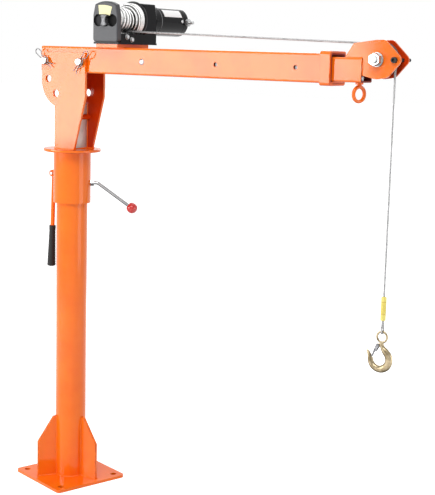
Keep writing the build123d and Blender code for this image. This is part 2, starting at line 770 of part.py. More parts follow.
def housing_outline(shoulder_rise):
    """Flat foot, upright sides drawn in at the shoulders, and a domed top."""
    half = HOUSING_WIDTH / 2
    shoulder = HOUSING_SHOULDER / 2
    side_z = WINCH_Z + HOUSING_SIDE_RISE
    shoulder_z = WINCH_Z + shoulder_rise
    edges = Polyline(
        (WINCH_X - shoulder, shoulder_z),
        (WINCH_X - half, side_z),
        (WINCH_X - half, TRAY_TOP),
        (WINCH_X + half, TRAY_TOP),
        (WINCH_X + half, side_z),
        (WINCH_X + shoulder, shoulder_z),
    )
    dome = ThreePointArc(
        (WINCH_X + shoulder, shoulder_z),
        (WINCH_X, WINCH_Z + HOUSING_TOP_RISE),
        (WINCH_X - shoulder, shoulder_z),
    )
    return make_face(edges + dome)


def journal_seat(y_mouth, inward):
    """A cutter for the drum's journal and its bush, from a housing's inner face."""
    radius = DRUM_JOURNAL / 2 + DRUM_BUSH_WALL
    depth = DRUM_JOURNAL_LENGTH + DRUM_END_GAP
    return rod(radius, winch_point(y_mouth), winch_point(y_mouth + inward * depth))


def finger_hollows():
    """Two round hollows for the fingers, run together by a seat for the clutch knob between them."""
    outline = Circle(KNOB_DIAMETER / 2 + KNOB_GAP)
    for side in (-1, 1):
        outline += Pos(side * HOLLOW_OFFSET, 0) * Circle(HOLLOW_DIAMETER / 2)
    return Pos(WINCH_X, CLUTCH_Z) * outline


def gearbox_housing():
    outline = housing_outline(GEARBOX_SHOULDER_RISE)
    outline = fillet(outline.vertices().sort_by(Axis.Y)[:2], GEARBOX_FOOT_CORNER)
    body = side_plate(outline, GEARBOX_FACE, GEARBOX_BACK)
    body = fillet(body.faces().sort_by(Axis.Y)[0].edges(), HOUSING_EDGE)
    body -= side_plate(finger_hollows(), GEARBOX_FACE, GEARBOX_FACE + HOLLOW_DEPTH)
    stem_end = GEARBOX_FACE + HOLLOW_DEPTH + KNOB_STEM_LENGTH
    body -= rod(KNOB_STEM / 2 + RUNNING_FIT, clutch_point(GEARBOX_FACE), clutch_point(stem_end))
    return body - journal_seat(GEARBOX_BACK, -1)


def clutch_knob():
    """A clutch knob drawn in to a waist between two finger grips, on a stem in the gear case."""
    floor = GEARBOX_FACE + HOLLOW_DEPTH - CLEARANCE
    outline = Circle(KNOB_DIAMETER / 2)
    for side in (-1, 1):
        outline -= Pos(side * (KNOB_WAIST / 2 + KNOB_GRIP_RADIUS), 0) * Circle(KNOB_GRIP_RADIUS)
    knob = side_plate(Pos(WINCH_X, CLUTCH_Z) * outline, floor - KNOB_LENGTH, floor)
    knob = fillet(knob.faces().sort_by(Axis.Y)[0].edges(), KNOB_EDGE)
    return knob + rod(KNOB_STEM / 2, clutch_point(floor), clutch_point(floor + KNOB_STEM_LENGTH))


def drum():
    """A spool: a small and a large flange on a core, with a journal at each end."""
    journal = DRUM_JOURNAL / 2
    far_flange = DRUM_FAR - DRUM_FLANGE_THICKNESS
    near_journal = winch_point(DRUM_NEAR - DRUM_JOURNAL_LENGTH)
    far_journal = winch_point(DRUM_FAR + DRUM_JOURNAL_LENGTH)
    spool = rod(journal, near_journal, far_journal)
    spool += rod(DRUM_CORE / 2, winch_point(DRUM_NEAR), winch_point(DRUM_FAR))
    for diameter, y in ((DRUM_NEAR_FLANGE, DRUM_NEAR), (DRUM_FAR_FLANGE, far_flange)):
        spool += rod(diameter / 2, winch_point(y), winch_point(y + DRUM_FLANGE_THICKNESS))
    return spool


def drum_bushes():
    bore = DRUM_JOURNAL / 2 + RUNNING_FIT
    outer = DRUM_JOURNAL / 2 + DRUM_BUSH_WALL
    near = (GEARBOX_BACK - DRUM_JOURNAL_LENGTH, GEARBOX_BACK)
    far = (SUPPORT_FACE, SUPPORT_FACE + DRUM_JOURNAL_LENGTH)
    return [ring(outer, bore, winch_point(low), winch_point(high)) for low, high in (near, far)]


def wound_rope():
    """The rope on the drum: even turns, a low lane where the run leaves, turns heaped at the far flange."""
    near = DRUM_NEAR + DRUM_FLANGE_THICKNESS
    far = DRUM_FAR - DRUM_FLANGE_THICKNESS
    core = DRUM_CORE / 2
    lane = WOUND_LANE / 2
    profile = Polyline(
        (core, near),
        (WOUND_NEAR / 2, near),
        (WOUND_NEAR / 2, -lane - WOUND_STEP),
        (WOUND_LEAVING / 2, -lane),
        (WOUND_LEAVING / 2, lane),
        (WOUND_FAR / 2, lane + WOUND_SLOPE),
        (WOUND_FAR / 2, far),
        (core, far),
        close=True,
    )
    plane = Plane(origin=winch_point(0), x_dir=(1, 0, 0), z_dir=(0, 0, 1))
    return revolve(plane * make_face(profile), Axis(winch_point(0), (0, 1, 0)))


def motor_support():
    body = side_plate(housing_outline(SUPPORT_SHOULDER_RISE), SUPPORT_FACE, MOTOR_FACE)
    body = fillet(body.faces().sort_by(Axis.Y)[-1].edges(), HOUSING_EDGE)
    body -= journal_seat(SUPPORT_FACE, 1)
    for bolt in winch_bolt_shanks():
        body -= bolt
    return body


def motor_can():
    can = rod(MOTOR_DIAMETER / 2, winch_point(MOTOR_FACE), winch_point(MOTOR_END))
    collar_end = winch_point(MOTOR_FACE + MOTOR_RING_LENGTH)
    return can + rod(MOTOR_DIAMETER / 2 + MOTOR_RING, winch_point(MOTOR_FACE), collar_end)


def motor_end_cap():
    cap = rod(MOTOR_DIAMETER / 2, winch_point(MOTOR_END), winch_point(MOTOR_END + MOTOR_CAP_LENGTH))
    return chamfer(cap.edges().sort_by(Axis.Y)[-1], MOTOR_CAP_CHAMFER)


def motor_terminals():
    """Two studs with nuts on the sides of the motor's end cap."""
    radius = MOTOR_DIAMETER / 2
    y = MOTOR_END + (MOTOR_CAP_LENGTH - MOTOR_CAP_CHAMFER) / 2
    studs = []
    for side in (-1, 1):

        def out(reach):
            return (WINCH_X + side * (radius + reach), y, WINCH_Z)

        stud = rod(TERMINAL_STUD / 2, out(0), out(TERMINAL_REACH))
        stud += hex_bar(TERMINAL_NUT, out(0), out(TERMINAL_NUT_LENGTH))
        second = TERMINAL_NUT_LENGTH + TERMINAL_NUT_GAP
        stud += hex_bar(TERMINAL_NUT, out(second), out(second + TERMINAL_NUT_LENGTH))
        studs.append(stud - rod(radius, winch_point(MOTOR_END), winch_point(MOTOR_END + MOTOR_CAP_LENGTH)))
    return studs


def winch_bolts():
    """Countersunk bolts: the near pair ends in nuts on the tray, the far pair in the motor's support."""
    bolts = []
    for (x, y), shank in zip(winch_bolt_places(), winch_bolt_shanks()):
        if y < 0:
            shank += hex_bar(WINCH_NUT, (x, y, TRAY_TOP), (x, y, TRAY_TOP + WINCH_NUT_HEIGHT))
        bolts.append(shank)
    return bolts


def tray_screws():
    """Two hex screws on the tray's front lip."""
    face = WINCH_X + HOUSING_WIDTH / 2
    screws = []
    for y, rise in TRAY_SCREW_PLACES:
        z = TRAY_TOP + rise
        washer = rod(0.7 * TRAY_SCREW_HEX, (face, y, z), (face + TRAY_SCREW_HEAD / 4, y, z))
        screws.append(washer + hex_bar(TRAY_SCREW_HEX, (face, y, z), (face + TRAY_SCREW_HEAD, y, z)))
    return screws


# Rope and hook


def rope_tangent():
    """The straight run from under the drum to the top of the sheave: its ends and its slope."""
    run_x, run_z = SHEAVE_X - WINCH_X, SHEAVE_Z - WINCH_Z
    cross = asin((ROPE_LEAVING_RADIUS + SHEAVE_PITCH_RADIUS) / hypot(run_x, run_z))
    slope = atan2(run_z, run_x) + cross
    start = (WINCH_X + ROPE_LEAVING_RADIUS * sin(slope), WINCH_Z - ROPE_LEAVING_RADIUS * cos(slope))
    end = (SHEAVE_X - SHEAVE_PITCH_RADIUS * sin(slope), SHEAVE_Z + SHEAVE_PITCH_RADIUS * cos(slope))
    return start, end, slope


def rope_run():
    start, end, _ = rope_tangent()
    return rod(ROPE_RADIUS, (start[0], 0, start[1]), (end[0], 0, end[1]))


def rope_wrap():
    slope = rope_tangent()[2]
    start_angle = 90 + degrees(slope)
    arc = side_plane(0) * CenterArc((SHEAVE_X, SHEAVE_Z), SHEAVE_PITCH_RADIUS, start_angle, -start_angle)
    return sweep(Plane(origin=arc @ 0, z_dir=arc % 0) * Circle(ROPE_RADIUS), arc)


def rope_drop():
    return rod(ROPE_RADIUS, (ROPE_DROP_X, 0, SHEAVE_Z), (ROPE_DROP_X, 0, ROPE_SLEEVE_TOP))


def rope_sleeve():
    radius = ROPE_SLEEVE_DIAMETER / 2
    body = rod(radius, (ROPE_DROP_X, 0, ROPE_SLEEVE_BOTTOM), (ROPE_DROP_X, 0, ROPE_SLEEVE_TOP))
    return chamfer(body.edges().sort_by(Axis.Z)[-1], radius / 3)


def rope_eye():
    """The rope's end loop below the sleeve, across the hook's eye."""
    bend = ROPE_EYE_RADIUS
    neck = ROPE_EYE_WIRE / 2 + CLEARANCE
    throat = ROPE_EYE_WIRE
    waist = 0.55 * ROPE_EYE_LENGTH
    half = [(neck, 0), (neck, -throat), (bend, -waist), (bend, -ROPE_EYE_LENGTH)]
    points = half + [(-y, z) for y, z in reversed(half)]
    plane = Plane(origin=(ROPE_DROP_X, 0, ROPE_SLEEVE_BOTTOM), x_dir=(0, 1, 0), z_dir=(1, 0, 0))
    radii = [2 * bend, 2 * bend, 0.98 * bend, 0.98 * bend, 2 * bend, 2 * bend]
    return wire(points, radii, plane, ROPE_EYE_WIRE / 2)


def hook_sections():
    """Stations along the hook: place, heading and width, from the neck round the bowl to the point."""
    centre = (-BOWL_BACK, -BOWL_DROP)
    neck_z = -HOOK_EYE_RADIUS
    stations = [(0.0, neck_z, -90.0, HOOK_NECK), (HOOK_NECK / 9, neck_z - HOOK_NECK, -76.0, HOOK_SHOULDER)]
    first, last, count = 52.0, -176.0, 9
    for step in range(count):
        share = step / (count - 1)
        angle = first + (last - first) * share
        width = HOOK_THROAT + HOOK_BULGE * sin(radians(180 * min(1.0, 0.25 + 0.75 * share)))
        x = centre[0] + BOWL_RADIUS * cos(radians(angle))
        z = centre[1] + BOWL_RADIUS * sin(radians(angle))
        stations.append((x, z, angle - 90.0, width))
    stations.append((*HOOK_TIP, 118.0, HOOK_TIP_WIDTH))
    stations.append((*HOOK_POINT, 124.0, HOOK_POINT_WIDTH))
    return stations


def hook():
    """An eye hook: a ring, a neck, a deep bowl that thins to its point, and a lug for the latch."""
    sections = []
    for x, z, heading, width in hook_sections():
        along = Vector(cos(radians(heading)), 0, sin(radians(heading)))
        plane = Plane(origin=(ROPE_DROP_X + x, 0, HOOK_EYE_Z + z), x_dir=(0, 1, 0), z_dir=along)
        depth = min(HOOK_DEPTH, 1.1 * width)
        sections.append(plane * Ellipse(depth / 2, width / 2))
    bowl = loft(sections)
    eye = Pos(ROPE_DROP_X, 0, HOOK_EYE_Z) * Rot(90, 0, 0) * Torus(HOOK_EYE_RADIUS, HOOK_EYE_WIRE / 2)
    return bowl + eye + latch_lug()


def latch_lug():
    """The tongue on the hook's neck that carries the latch pin."""
    half = LATCH_LUG_WIDTH / 2
    end = Pos(*LATCH_PIVOT) * Circle(LATCH_LUG / 2)
    root = Pos(0, LATCH_PIVOT[1]) * Circle(LATCH_LUG / 3)
    outline = Pos(ROPE_DROP_X, HOOK_EYE_Z) * make_hull(end.edges() + root.edges())
    return side_plate(outline, -half, half) - rod(LATCH_PIN / 2, latch_point(-half), latch_point(half))


def latch_point(y):
    return (ROPE_DROP_X + LATCH_PIVOT[0], y, HOOK_EYE_Z + LATCH_PIVOT[1])


def hook_latch():
    """A folded sheet tongue: two ears on the pin and a flat blade that closes the hook's throat."""
    half = LATCH_WIDTH / 2
    ear = make_hull(Circle(LATCH_LUG / 2).edges() + (Pos(0, -LATCH_LENGTH / 2) * Circle(LATCH_SHEET)).edges())
    turn = radians(LATCH_ANGLE)
    plane = Plane(origin=latch_point(0), x_dir=(cos(turn), 0, -sin(turn)), z_dir=(0, -1, 0))
    blade_outline = Pos(-LATCH_LUG / 2 + LATCH_SHEET / 2, -LATCH_LENGTH / 2 - LATCH_LUG / 4)
    blade_outline *= Rectangle(LATCH_SHEET, LATCH_LENGTH - LATCH_LUG / 2)
    latch = extrude(plane * blade_outline, half, both=True)
    ears = extrude(plane * ear, half, both=True) - extrude(plane * ear, half - LATCH_SHEET, both=True)
    latch += ears
    return latch - rod(LATCH_PIN / 2 + RUNNING_FIT, latch_point(-LATCH_WIDTH), latch_point(LATCH_WIDTH))


def latch_pin():
    half = LATCH_WIDTH / 2 + LATCH_PIN_END
    return rod(LATCH_PIN / 2, latch_point(-half), latch_point(half))


# Swing handle and lock lever


def handle_point(y):
    return (HANDLE_PIVOT_X, y, HANDLE_PIVOT_Z)


def ear_faces():
    """Inner and outer distance of the bracket's ears from its middle."""
    inner = HANDLE_ROD / 2 + CLEARANCE
    return inner, inner + EAR_THICKNESS


def handle_bracket():
    """Two ears on the sleeve, joined by the sleeve they are welded to."""
    inner, outer = ear_faces()
    radius = HANDLE_EYE / 2
    root = Pos(-SLEEVE_BORE - radius / 2, HANDLE_PIVOT_Z) * Rectangle(radius, 2.6 * radius)
    outline = make_hull((Pos(HANDLE_PIVOT_X, HANDLE_PIVOT_Z) * Circle(radius)).edges() + root.edges())
    tube = rod(SLEEVE_RADIUS, (0, 0, SLEEVE_BOTTOM), (0, 0, SLEEVE_TOP))
    ears = []
    for low, high in ((-outer, -inner), (inner, outer)):
        ear = side_plate(outline, low, high) - tube
        ears.append(ear - rod(HANDLE_PIN / 2, handle_point(-outer), handle_point(outer)))
    return ears


def handle_pin():
    inner, outer = ear_faces()
    head = HANDLE_PIN / 2
    pin = rod(HANDLE_PIN / 2, handle_point(-outer - head / 2), handle_point(outer))
    return pin + rod(HANDLE_PIN * 0.8, handle_point(outer), handle_point(outer + head))


def leaned(shape):
    """Turns the hanging handle out from the sleeve about its pin."""
    return shape.rotate(Axis(handle_point(0), (0, 1, 0)), HANDLE_LEAN)


def handle_rod():
    half = HANDLE_ROD / 2
    foot = (HANDLE_PIVOT_X, 0, HANDLE_PIVOT_Z - HANDLE_DROP + GRIP_BUTT)
    bar = rod(half, handle_point(0), foot)
    eye = rod(HANDLE_EYE / 2, handle_point(-half), handle_point(half))
    bore = rod(HANDLE_PIN / 2 + RUNNING_FIT, handle_point(-HANDLE_EYE), handle_point(HANDLE_EYE))
    return leaned(bar + eye - bore)


def handle_grip():
    """A tapered rubber grip with a rounded butt."""
    foot_z = HANDLE_PIVOT_Z - HANDLE_DROP
    plane = Plane(origin=(HANDLE_PIVOT_X, 0, foot_z), x_dir=(1, 0, 0), z_dir=(0, -1, 0))
    bore = HANDLE_ROD / 2
    profile = Polyline(
        (0, 0),
        (GRIP_BOTTOM / 2, 0),
        (GRIP_TOP / 2, GRIP_LENGTH),
        (bore, GRIP_LENGTH),
        (bore, GRIP_BUTT),
        (0, GRIP_BUTT),
        close=True,
    )
    grip = revolve(plane * make_face(profile), Axis((HANDLE_PIVOT_X, 0, foot_z), (0, 0, 1)))
    return leaned(fillet(grip.edges().sort_by(Axis.Z)[0], GRIP_BUTT / 2))


def lock_nut():
    """A nut welded to the sleeve, which the lock lever is screwed through."""
    far = lock_point(SLEEVE_RADIUS + LOCK_NUT_LENGTH)
    nut = hex_bar(LOCK_NUT_HEX, lock_point(SLEEVE_BORE), far)
    nut -= rod(SLEEVE_RADIUS, (0, 0, SLEEVE_BOTTOM), (0, 0, SLEEVE_TOP))
    return nut - rod(LOCK_ROD / 2 + RUNNING_FIT, lock_point(0), far)


def ball_centre():
    return lock_point(LOCK_REACH, -LOCK_DROP)


def lock_lever():
    """A cranked clamp screw: its tip bears on the post and its arm hangs down to the ball."""
    along = lock_direction()
    plane = Plane(origin=(0, 0, LOCK_HEIGHT), x_dir=along, z_dir=along.cross(Vector(0, 0, 1)))
    points = [(POST_RADIUS + CLEARANCE, 0), (LOCK_BEND_AT, 0), (LOCK_REACH, -LOCK_DROP)]
    return wire(points, [LOCK_BEND_RADIUS], plane, LOCK_ROD / 2)


def lever_ball():
    """A ball knob, bored for the arm, with a flat where the arm enters."""
    centre = ball_centre()
    arm = lock_point(LOCK_BEND_AT) - centre
    flat = Plane(origin=centre + arm.normalized() * BALL_FLAT, z_dir=arm)
    ball = Pos(*centre) * Sphere(BALL_DIAMETER / 2)
    return split(ball, flat, keep=Keep.BOTTOM) - lock_lever()


def save(name, shape):
    """Writes one node: a single solid or a group of separate solids."""
    solids = ShapeList()
    for item in shape if isinstance(shape, list) else [shape]:
        solids += item.solids()
    export_step(solids[0] if len(solids) == 1 else Compound(children=list(solids)), f"parts/{name}.step")


def build():
    places = pin_places()
    parts = {
        "base_plate": base_plate(),
        "base_gussets": base_gussets(),
        "post_tube": post_tube(),
        "post_cap": post_cap(),
        "thrust_washer": thrust_washer(),
        "swivel_sleeve": swivel_sleeve(),
        "swivel_bushes": swivel_bushes(),
        "sleeve_flange": sleeve_flange(),
        "near_cheek": head_cheek(-1),
        "far_cheek": head_cheek(1),
        "head_web": head_web(),
        "head_cross_bar": head_cross_bar(),
        "pivot_pin": boom_pin(*places["pivot"]),
        "tilt_pin": boom_pin(*places["tilt"]),
        "pin_clips": [spring_clip(*places["pivot"]), spring_clip(*places["tilt"])],
        "outer_boom": outer_boom(),
        "boom_collar": boom_collar(),
        "inner_boom": inner_boom(),
        "near_tip_cheek": tip_cheek(-1),
        "far_tip_cheek": tip_cheek(1),
        "sheave": sheave(),
        "sheave_bush": sheave_bush(),
        "sheave_axle": sheave_axle(),
        "axle_nut": axle_nut(),
        "axle_washers": axle_washers(),
        "keeper_bolt": keeper_bolt(),
        "keeper_nut": keeper_nut(),
        "eye_bolt": eye_bolt(),
        "eye_nut": eye_nut(),
        "winch_plate": winch_plate(),
        "winch_tray": winch_tray(),
        "gearbox_housing": gearbox_housing(),
        "clutch_knob": clutch_knob(),
        "drum": drum(),
        "drum_bushes": drum_bushes(),
        "wound_rope": wound_rope(),
        "motor_support": motor_support(),
        "motor_can": motor_can(),
        "motor_end_cap": motor_end_cap(),
        "motor_terminals": motor_terminals(),
        "winch_bolts": winch_bolts(),
        "tray_screws": tray_screws(),
        "rope_run": rope_run(),
        "rope_wrap": rope_wrap(),
        "rope_drop": rope_drop(),
        "rope_sleeve": rope_sleeve(),
        "rope_eye": rope_eye(),
        "hook": hook(),
        "hook_latch": hook_latch(),
        "latch_pin": latch_pin(),
        "handle_bracket": handle_bracket(),
        "handle_pin": handle_pin(),
        "handle_rod": handle_rod(),
        "handle_grip": handle_grip(),
        "lock_nut": lock_nut(),
        "lock_lever": lock_lever(),
        "lever_ball": lever_ball(),
    }
    os.makedirs("parts", exist_ok=True)
    for name, shape in parts.items():
        save(name, shape)


build()
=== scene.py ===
# %% [markdown]
# # Pickup truck crane
# A crane for a truck bed: a bolted post, a head that turns on it, a telescopic boom with an electric winch,
# and a wire rope that runs over a sheave to a safety hook.
# The CAD model gives every rigid part its place and size. This lesson gives those parts rounded edges, real
# finishes, welds, threads, laid rope and a studio, and never moves them.

# %% Load the CAD frame
import json
from math import atan2, cos, pi, radians, sin

import bmesh
import bpy
from mathutils import Matrix, Vector
from mathutils.kdtree import KDTree


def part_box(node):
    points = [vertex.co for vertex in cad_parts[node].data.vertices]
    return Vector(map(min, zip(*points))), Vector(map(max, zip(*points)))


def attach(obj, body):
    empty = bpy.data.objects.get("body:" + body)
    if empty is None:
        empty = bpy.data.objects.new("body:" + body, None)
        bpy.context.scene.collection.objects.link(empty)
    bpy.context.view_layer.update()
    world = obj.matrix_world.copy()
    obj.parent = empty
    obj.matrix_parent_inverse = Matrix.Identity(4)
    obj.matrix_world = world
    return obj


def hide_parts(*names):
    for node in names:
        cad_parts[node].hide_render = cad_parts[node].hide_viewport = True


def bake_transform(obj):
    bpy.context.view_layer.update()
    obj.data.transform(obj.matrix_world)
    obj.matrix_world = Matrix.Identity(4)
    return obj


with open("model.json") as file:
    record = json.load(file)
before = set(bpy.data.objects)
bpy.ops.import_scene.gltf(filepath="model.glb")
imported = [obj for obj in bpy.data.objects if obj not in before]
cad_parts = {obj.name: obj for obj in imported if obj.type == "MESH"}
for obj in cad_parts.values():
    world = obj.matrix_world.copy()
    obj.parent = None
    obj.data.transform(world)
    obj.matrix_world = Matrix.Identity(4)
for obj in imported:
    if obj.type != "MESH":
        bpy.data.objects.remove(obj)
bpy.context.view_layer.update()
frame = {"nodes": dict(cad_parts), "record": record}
nodes = frame["nodes"]
scene = bpy.context.scene
scene.view_settings.view_transform = "Standard"

# %% [markdown]
# ## Camera
# The photograph is taken from the crane's front right, a little above the boom, with a long lens. A camera
# can be placed by eye, but this one was solved from measured points, which is more exact.
# The lens is written as a focal length in pixels, because that is what was measured, and turned into
# millimetres on a 36 mm sensor, which spans the longer side of the picture, here its height.
# The camera rolls about its own view axis, so the roll is the last factor of its turn.

# %% Camera
CAMERA_PLACE = Vector((2.15606, -2.57489, 1.22662))
CAMERA_TURN = radians(32.94)
CAMERA_DIP = radians(9.37)
CAMERA_ROLL = radians(1.52)
FOCAL_PIXELS = 1203.0
PHOTO_HEIGHT = 495.0
SENSOR = 36.0

camera_data = bpy.data.cameras.new("photo_camera")
camera_data.sensor_width = SENSOR
camera_data.lens = FOCAL_PIXELS / PHOTO_HEIGHT * SENSOR
camera = bpy.data.objects.new("photo_camera", camera_data)
camera_turn = Matrix.Rotation(CAMERA_TURN, 4, "Z")
camera_turn @= Matrix.Rotation(pi / 2 - CAMERA_DIP, 4, "X")
camera_turn @= Matrix.Rotation(CAMERA_ROLL, 4, "Z")
camera.matrix_world = Matrix.Translation(CAMERA_PLACE) @ camera_turn
scene.collection.objects.link(camera)
scene.camera = camera
print("lens in mm:", round(camera_data.lens, 2))

# %% [markdown]
# ## Wire rope
# The real rope is six steel strands laid round each other. A picture of a rope on a plain tube would look
# flat from close by, so each strand is its own thin tube, a third as thick as the rope.
# The CAD model's points steer a NURBS curve, the route. A curve with no bevel gives its line as a mesh,
# and the strands wind round the points of that line, once for each lay length.

# %% Route of a rope
ROPE_DIAMETER = 0.005


def read_route(name, points, steps, corner_weight=1.0):
    """Points along the NURBS curve that a route's control points steer."""
    curve = bpy.data.curves.new(name, "CURVE")
    curve.dimensions = "3D"
    curve.resolution_u = steps
    spline = curve.splines.new("NURBS")
    spline.points.add(len(points) - 1)
    for index, place in enumerate(points):
        inner = 0 < index < len(points) - 1
        spline.points[index].co = (*place, corner_weight if inner else 1.0)
    spline.order_u = 3
    spline.use_endpoint_u = True
    line = bpy.data.objects.new(name, curve)
    mesh = bpy.data.meshes.new_from_object(line)
    places = [vertex.co.copy() for vertex in mesh.vertices]
    bpy.data.meshes.remove(mesh)
    bpy.data.objects.remove(line)
    return places


def run_length(places):
    """The length of a line of points."""
    return sum((after - before).length for before, after in zip(places, places[1:]))


print("rope diameter:", ROPE_DIAMETER)

# %% Strands of a rope
STRANDS = 6
STRAND_RADIUS = ROPE_DIAMETER / 6
STRAND_REACH = ROPE_DIAMETER / 2 - STRAND_RADIUS
LAY_LENGTH = 0.034


def strand_points(places, side_axis, start_turn, strand, reach):
    """Points of one strand, wound round a line of points."""
    travelled = 0.0
    wound = []
    last = len(places) - 1
    for index, place in enumerate(places):
        ahead = places[min(index + 1, last)]
        behind = places[max(index - 1, 0)]
        along = (ahead - behind).normalized()
        side = (side_axis - along * side_axis.dot(along)).normalized()
        up = along.cross(side)
        if index:
            travelled += (place - places[index - 1]).length
        turn = start_turn + 2 * pi * (travelled / LAY_LENGTH + strand / STRANDS)
        wound.append(place + (side * cos(turn) + up * sin(turn)) * reach)
    return wound


def beads(name, lines, thickness, swell=None):
    """A mesh object of one round tube along each line of points, as thick at each point as swell says."""
    curve = bpy.data.curves.new(name, "CURVE")
    curve.dimensions = "3D"
    curve.bevel_depth = thickness
    curve.bevel_resolution = 1
    curve.use_fill_caps = True
    for places in lines:
        spline = curve.splines.new("POLY")
        spline.points.add(len(places) - 1)
        for index, (point, place) in enumerate(zip(spline.points, places)):
            point.co = (*place, 1.0)
            point.radius = swell[index % len(swell)] if swell else 1.0
    holder = bpy.data.objects.new(name + "_curve", curve)
    mesh = bpy.data.meshes.new_from_object(holder)
    bpy.data.objects.remove(holder)
    mesh.name = name
    for polygon in mesh.polygons:
        polygon.use_smooth = True
    made = bpy.data.objects.new(name, mesh)
    scene.collection.objects.link(made)
    return made


def laid_rope(name, places, side_axis=Vector((0, 1, 0)), start_turn=0.0, size=1.0):
    """Six strands as one mesh object, laid round a line of points."""
    reach = STRAND_REACH * size
    strands = [strand_points(places, side_axis, start_turn, strand, reach) for strand in range(STRANDS)]
    rope = beads(name, strands, STRAND_RADIUS * size)
    print(name, "length", round(run_length(places), 4), "faces", len(rope.data.polygons))
    return rope


print("strands:", STRANDS, "of radius", round(STRAND_RADIUS, 6))

# %% [markdown]
# ## The rope from the drum to the hook
# The rope leaves the drum underneath, runs straight to the sheave, wraps nearly a quarter of it and drops to
# the hook. The stretches move differently, so each is its own piece: the run stretches between the head and
# the sliding boom, the wrap rides on that boom, and the drop stretches between it and the rope's end.
# A weight of the cosine of half the wrap makes the NURBS corner an exact arc on the sheave.

# %% Rope run, wrap and drop
RUN_START = Vector((0.16927, 0.0, 1.26671))
RUN_END = Vector((0.92889, 0.0, 1.24799))
WRAP_CORNER = Vector((0.964, 0.0, 1.24712))
DROP_START = Vector((0.964, 0.0, 1.212))
DROP_END = Vector((0.964, 0.0, 0.655))
EDGE_STEP = 6 * ROPE_DIAMETER
RUN_STEPS = 180
WRAP_STEPS = 20
DROP_STEPS = 150


def taut_route(start, end):
    """Control points of a straight stretch: its ends, and a point a short way inside each of them."""
    step = (end - start).normalized() * EDGE_STEP
    return [start, start + step, end - step, end]


run_points = read_route("run_route", taut_route(RUN_START, RUN_END), RUN_STEPS)
rope_run = laid_rope("rope_run_strands", run_points)
wrap_angle = pi / 2 + atan2(RUN_END.z - RUN_START.z, RUN_END.x - RUN_START.x)
wrap_route = [RUN_END, WRAP_CORNER, DROP_START]
wrap_points = read_route("wrap_route", wrap_route, WRAP_STEPS, cos(wrap_angle / 2))
lay_turn = 2 * pi * run_length(run_points) / LAY_LENGTH
rope_wrap = laid_rope("rope_wrap_strands", wrap_points, start_turn=lay_turn)
drop_points = read_route("drop_route", taut_route(DROP_START, DROP_END), DROP_STEPS)
lay_turn += 2 * pi * run_length(wrap_points) / LAY_LENGTH
rope_drop = laid_rope("rope_drop_strands", drop_points, start_turn=lay_turn)

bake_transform(rope_run)
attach(rope_wrap, "extension")
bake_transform(rope_drop)
for piece, node in ((rope_run, "rope_run"), (rope_wrap, "rope_wrap"), (rope_drop, "rope_drop")):
    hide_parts(node)
print("rope from drum to sleeve:", round(sum(map(run_length, (run_points, wrap_points, drop_points))), 3))

# %% [markdown]
# ## The rope's eye
# Below its sleeve the rope comes back on itself in a loop, which hangs the hook. The loop is the same kind of
# curve: down one leg, round the hook's ring and up the other leg. It is laid a little thinner than the rope.

# %% Rope eye
EYE_TOP = Vector((0.964, 0.0, 0.597))
EYE_LEG = [(0.0025, 0.0), (0.0025, -0.0044), (0.0055, -0.0181), (0.0055, -0.0329)]
EYE_SIZE = 0.88
EYE_STEPS = 12

eye_route = EYE_LEG + [(-across, down) for across, down in reversed(EYE_LEG)]
eye_controls = [EYE_TOP + Vector((0, across, down)) for across, down in eye_route]
eye_points = read_route("eye_route", eye_controls, EYE_STEPS)
rope_eye = laid_rope("rope_eye_strands", eye_points, Vector((1, 0, 0)), size=EYE_SIZE)
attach(rope_eye, "rope_end")
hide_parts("rope_eye")

# %% [markdown]
# ## The rope on the drum
# Rope that is wound without care heaps up at one flange. Here five layers go to and fro at the motor's end.
# From the heap the turns come down to a low lane in the middle, lie evenly up to the gear case, and cross
# back over those turns to the place where the run leaves. A place is its distance along the drum and its
# radius. A coil is more points of the same curve, sixteen for each turn. A curve of order three passes a
# little inside its control points, so each turn is drawn that much larger.
# Each point of the rope is marked with how deep it lies between the turns, where it is painted darker as
# shade.

# %% Turns on the drum
drum_low, drum_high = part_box("drum")
drum_axis = (drum_low + drum_high) / 2
HEAP_ALONG = (0.0382, 0.0214)
HEAP_RADII = (0.0265, 0.0305, 0.0345, 0.0385, 0.0425)
HEAP_TURNS = 3
LANE_FAR = (0.0030, 0.0248)
LANE_NEAR = (-0.0030, 0.0248)
EVEN_FAR = (-0.0085, 0.0272)
EVEN_NEAR = (-0.0532, 0.0272)
CROSSING_NEAR = (-0.0480, 0.0316)
CROSSING_FAR = (-0.0095, 0.0316)
LEAVING = (RUN_START.y, drum_axis.z - RUN_START.z)
POINTS_PER_TURN = 16
INSIDE_SHARE = (1 + cos(pi / POINTS_PER_TURN)) / 2
LAST_ANGLE = radians(-90)


def coil(start, end, turns):
    """Control points of whole turns on the drum, from one place to another."""
    count = turns * POINTS_PER_TURN
    points = []
    for step in range(1, count + 1):
        share = step / count
        angle = LAST_ANGLE - 2 * pi * (count - step) / POINTS_PER_TURN
        along = start[0] + (end[0] - start[0]) * share
        reach = (start[1] + (end[1] - start[1]) * share) / INSIDE_SHARE
        points.append(Vector((drum_axis.x + reach * cos(angle), along, drum_axis.z + reach * sin(angle))))
    return points


wound_route = []
for layer, reach in enumerate(HEAP_RADII):
    first, last = HEAP_ALONG if layer % 2 == 0 else HEAP_ALONG[::-1]
    wound_route += coil((first, reach), (last, reach), HEAP_TURNS)
here = (last, reach)
turns_to = (
    (3, LANE_FAR),
    (1, LANE_NEAR),
    (1, EVEN_FAR),
    (6, EVEN_NEAR),
    (1, CROSSING_NEAR),
    (3, CROSSING_FAR),
    (1, LEAVING),
)
for turns, there in turns_to:
    wound_route += coil(here, there, turns)
    here = there
print("turns on the drum:", len(wound_route) // POINTS_PER_TURN)

# %% Rope on the drum
WOUND_STEPS = 3
# Rope lower than this, in radii of the rope, is painted darker as shade between the turns.
UNSHADED_ABOVE = 0.35


